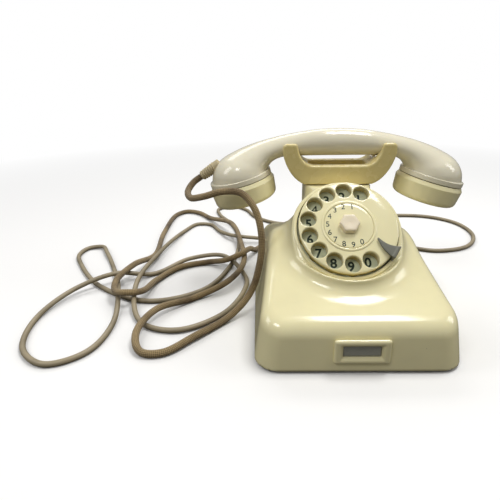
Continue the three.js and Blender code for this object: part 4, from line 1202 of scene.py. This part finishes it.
class TELEPHONE_OT_dial_surround(bpy.types.Operator):
    """Makes the collar round the wheel, the digits on the plate and the finger stop."""
    bl_idname = "telephone.dial_surround"
    bl_label = "Collar, plate digits and finger stop"

    def execute(self, context):
        s = sizes()
        inner, outer = s["wheel_radius"] + 1.1, s["collar_radius"]
        collar = turned(rounded([(inner, SEAT - 3.5, 0), (outer - 0.6, SEAT - 3.5, 0),
                                 (outer, COLLAR_TOP - 0.6, 0.5), (outer - 0.8, COLLAR_TOP, 0.6),
                                 (inner, COLLAR_TOP, 0.4)]), 160)
        piece("dial_collar", on_dial(collar[0]), collar[1], finish_named("ivory_gloss"), "root",
              "ivory_gloss", ("collar",))
        digits = ring_of_digits(s["plate_digit"], PLATE_DIGIT_WEIGHT, s["plate_digit_circle"],
                                s["first_hole"], s["hole_step"], PLATE_TOP + 0.03)
        piece("number_plate_digits", *digits, finish_named("digits"), "root", weld=False)

        claw = rounded([(21.4, -11.2, 0.5), (28.0, -17.4, 16), (36.4, -19.2, 0), (38.4, -19.4, 0.5),
                        (32.0, -29.0, 0.6), (28.7, -26.6, 0), (23.8, -20.6, 24), (20.6, -12.6, 0.5)], 6)

        def stop(p):
            x, y, h = p.T
            flat = outline_distance(claw, x, y)
            blade = soft_max(flat, np.abs(h - 1.75) - 0.75, 0.9)
            foot = soft_max(flat, s["wheel_radius"] + 0.7 - np.hypot(x, y), 0.6)
            foot = soft_max(foot, np.maximum(COLLAR_TOP + 0.1 - h, h - 2.4), 0.6)
            return soft_min(blade, foot, 0.8)

        points, faces, normals = skin(stop, (19, -31, COLLAR_TOP - 1), (42, -9, 4), 0.36)
        piece("finger_stop_claw", on_dial(points), faces, finish_named("finger_stop"), "root", "finger_stop",
              ("finger_stop",), dial_normals(normals))
        return {"FINISHED"}


# ------------------------------------------------------------------ cradle
def bezier(a, b, c, d, steps=10):
    """Points along a cubic curve, without its first."""
    t = np.linspace(0, 1, steps + 1)[1:, None]
    a, b, c, d = (np.array(p, float) for p in (a, b, c, d))
    return (a * (1 - t) ** 3 + 3 * b * t * (1 - t) ** 2 + 3 * c * t ** 2 * (1 - t) + d * t ** 3).tolist()


class TELEPHONE_OT_cradle(bpy.types.Operator):
    """Makes the cradle: two forked horns on a hollow bar, with a round trough for the handle."""
    bl_idname = "telephone.cradle"
    bl_label = "Cradle"

    def execute(self, context):
        low, top = CRADLE_LOW[2], CRADLE_HIGH[2]
        outer, inner, floor = CRADLE_HIGH[0], 37.3, 124.0
        half_side = [[30, low]]
        half_side += bezier([30, low], [42, low + 4], [outer - 1, top - 17], [outer, top - 8])
        half_side += bezier([outer, top - 4], [outer, top - 1.5], [outer - 1.5, top], [outer - 4, top], 6)
        half_side += bezier([inner + 3, top], [inner + 1, top], [inner, top - 1], [inner - 0.3, top - 3], 6)
        half_side += bezier([inner - 0.3, top - 3], [inner - 2, floor + 7], [inner - 7, floor], [22, floor])
        outline = np.array(half_side + [[-x, z] for x, z in reversed(half_side)])
        deep = (CRADLE_HIGH[1] - CRADLE_LOW[1]) / 2

        def horns(p):
            x, y, z = p[:, 0], p[:, 1] - HANDSET_Y, p[:, 2]
            block = soft_max(outline_distance(outline, x, z), np.abs(y) - deep, 2.4)
            trough = 13.6 - np.hypot(y, np.minimum(z - 141.6, 0))
            block = soft_max(block, trough, 1.6)
            pocket = np.maximum(rounded_box(x, y, 26, deep - 7.5, 5), 115 - z)
            return soft_max(block, -pocket, 1.6)

        points, faces, normals = skin(horns, CRADLE_LOW - 2, CRADLE_HIGH + 2, 0.85)
        piece("cradle_horns", points, faces, finish_named("ivory_cradle"), "cradle", "ivory_cradle",
              ("cradle",), normals)
        return {"FINISHED"}


# ------------------------------------------------------------------ handset
# Upper and lower edge (x, z) of the handset from its middle to one end, with its half width there.
HANDSET_SECTIONS = (
    (0, 154.3, 0, 130.4, 11.6), (18, 153.6, 18, 130.4, 11.5), (36, 151.2, 36, 130.1, 11.4),
    (56, 147.2, 49, 129.4, 12.2), (76, 141.6, 57, 126.6, 15.5), (95, 133.6, 61.3, 122.6, 21),
    (107.5, 125.5, 62.8, 119.6, 25.6), (113.6, 115.5, 62.4, 117.4, 27.8), (115.4, 101, 60.6, 115.4, 28.4),
)


class TELEPHONE_OT_handset(bpy.types.Operator):
    """Makes the handset's one-piece handle with its two ends and the stepped bands at the seams."""
    bl_idname = "telephone.handset"
    bl_label = "Handset"

    def execute(self, context):
        s = sizes()
        left = [(-a, b, -c, d, e) for a, b, c, d, e in reversed(HANDSET_SECTIONS[1:])]
        stations = smooth_path(left + list(HANDSET_SECTIONS), 12)
        angles = np.arange(72) * 2 * np.pi / 72
        rings = []
        for top_x, top_z, low_x, low_z, half in stations:
            share = (1 + np.cos(angles)) / 2
            rings.append(np.stack([low_x + (top_x - low_x) * share, HANDSET_Y - half * np.sin(angles),
                                   low_z + (top_z - low_z) * share], 1))
        parts = [lofted(rings)]
        edge = s["seam_radius"]
        band = rounded([(edge - 3, 0.2, 0), (edge + 0.45, 0.2, 0.25), (edge + 0.55, 4.4, 0.5),
                        (edge - 3, 5.4, 0)])
        for side in (-1, 1):
            points, faces = turned(band, 120)
            parts.append((on_seam(points, side), faces))
        points, faces = joined(*parts)
        piece("handset_handle", points, faces, finish_named("ivory_pale"), "handset", "ivory_pale",
              ("handset_shell",))
        return {"FINISHED"}


class TELEPHONE_OT_caps(bpy.types.Operator):
    """Makes the mouthpiece and earpiece caps, pierced with sound holes."""
    bl_idname = "telephone.caps"
    bl_label = "Caps"

    def execute(self, context):
        s = sizes()
        r, h = s["cap_radius"], -s["cap_height"]
        outline = rounded([(0, h + 1.2, 0), (15, h + 1.2, 3), (19, h, 3), (r - 1.6, h, 5.0), (r, -3.9, 0.8),
                           (s["seam_radius"] + 0.3, -0.5, 0.7), (25, -0.5, 0.2), (25, h + 8, 3),
                           (19, h + 3.6, 3), (0, h + 3.6, 0)], 7)
        cap = turned(outline, 144)
        pins = round_pins_tree()
        ring = grown(pins, {"Count": 6, "Circle radius": 0.009, "Pin radius": s["sound_hole"] * MM,
                            "Pin length": 0.014})
        middle = grown(pins, {"Count": 3, "Circle radius": 0.0, "Pin radius": s["sound_hole"] * MM,
                              "Pin length": 0.014})
        one = len(middle[0]) // 3
        middle = (middle[0][:one], [f for f in middle[1] if max(f) < one])
        cutters = joined(ring, middle)
        cutters = (cutters[0] + [0, 0, h + 2], cutters[1])
        points, faces = cut(*cap, cutters)
        for name, side in (("mouthpiece_cap", -1), ("earpiece_cap", 1)):
            piece(name + "_pierced", on_seam(points, side), faces, finish_named("ivory_gloss"), "handset",
                  "ivory_gloss", (name,))
        return {"FINISHED"}


class TELEPHONE_OT_carried_parts(bpy.types.Operator):
    """Gives the remaining working parts, most of them inside, their finishes."""
    bl_idname = "telephone.carried_parts"
    bl_label = "Working parts"

    def execute(self, context):
        slots = {part["node"]: part["material_slot"] for part in frame["record"]["subparts"]}
        for name, made in frame["nodes"].items():
            if not made.material_slots:
                made.data.materials.append(None)
            for slot in made.material_slots:
                slot.material = finish_named(slots[name])
        return {"FINISHED"}


# ------------------------------------------------------------------ panel and registering
OPERATORS = (
    TELEPHONE_OT_stage, TELEPHONE_OT_cords, TELEPHONE_OT_sleeves, TELEPHONE_OT_housing,
    TELEPHONE_OT_card_holder, TELEPHONE_OT_finger_wheel, TELEPHONE_OT_number_disc,
    TELEPHONE_OT_dial_surround, TELEPHONE_OT_cradle, TELEPHONE_OT_handset, TELEPHONE_OT_caps,
    TELEPHONE_OT_carried_parts,
)


class TELEPHONE_PT_panel(bpy.types.Panel):
    """Lists the sizes, the colours and the steps of making."""
    bl_idname = "TELEPHONE_PT_panel"
    bl_label = "Telephone"
    bl_space_type = "VIEW_3D"
    bl_region_type = "UI"
    bl_category = "Telephone"

    def draw(self, context):
        for operator in OPERATORS:
            self.layout.operator(operator.bl_idname)
        for group in (context.scene.telephone_sizes, context.scene.telephone_colours):
            column = self.layout.column()
            for name in group.__annotations__:
                column.prop(group, name)


CLASSES = (TelephoneSizes, TelephoneColours, *OPERATORS, TELEPHONE_PT_panel)


def register():
    for each in CLASSES:
        bpy.utils.register_class(each)
    bpy.types.Scene.telephone_sizes = PointerProperty(type=TelephoneSizes)
    bpy.types.Scene.telephone_colours = PointerProperty(type=TelephoneColours)


def unregister():
    del bpy.types.Scene.telephone_sizes
    del bpy.types.Scene.telephone_colours
    for each in reversed(CLASSES):
        bpy.utils.unregister_class(each)


def main():
    register()
    for operator in OPERATORS:
        group, name = operator.bl_idname.split(".")
        getattr(getattr(bpy.ops, group), name)()


if __name__ == "__main__":
    main()
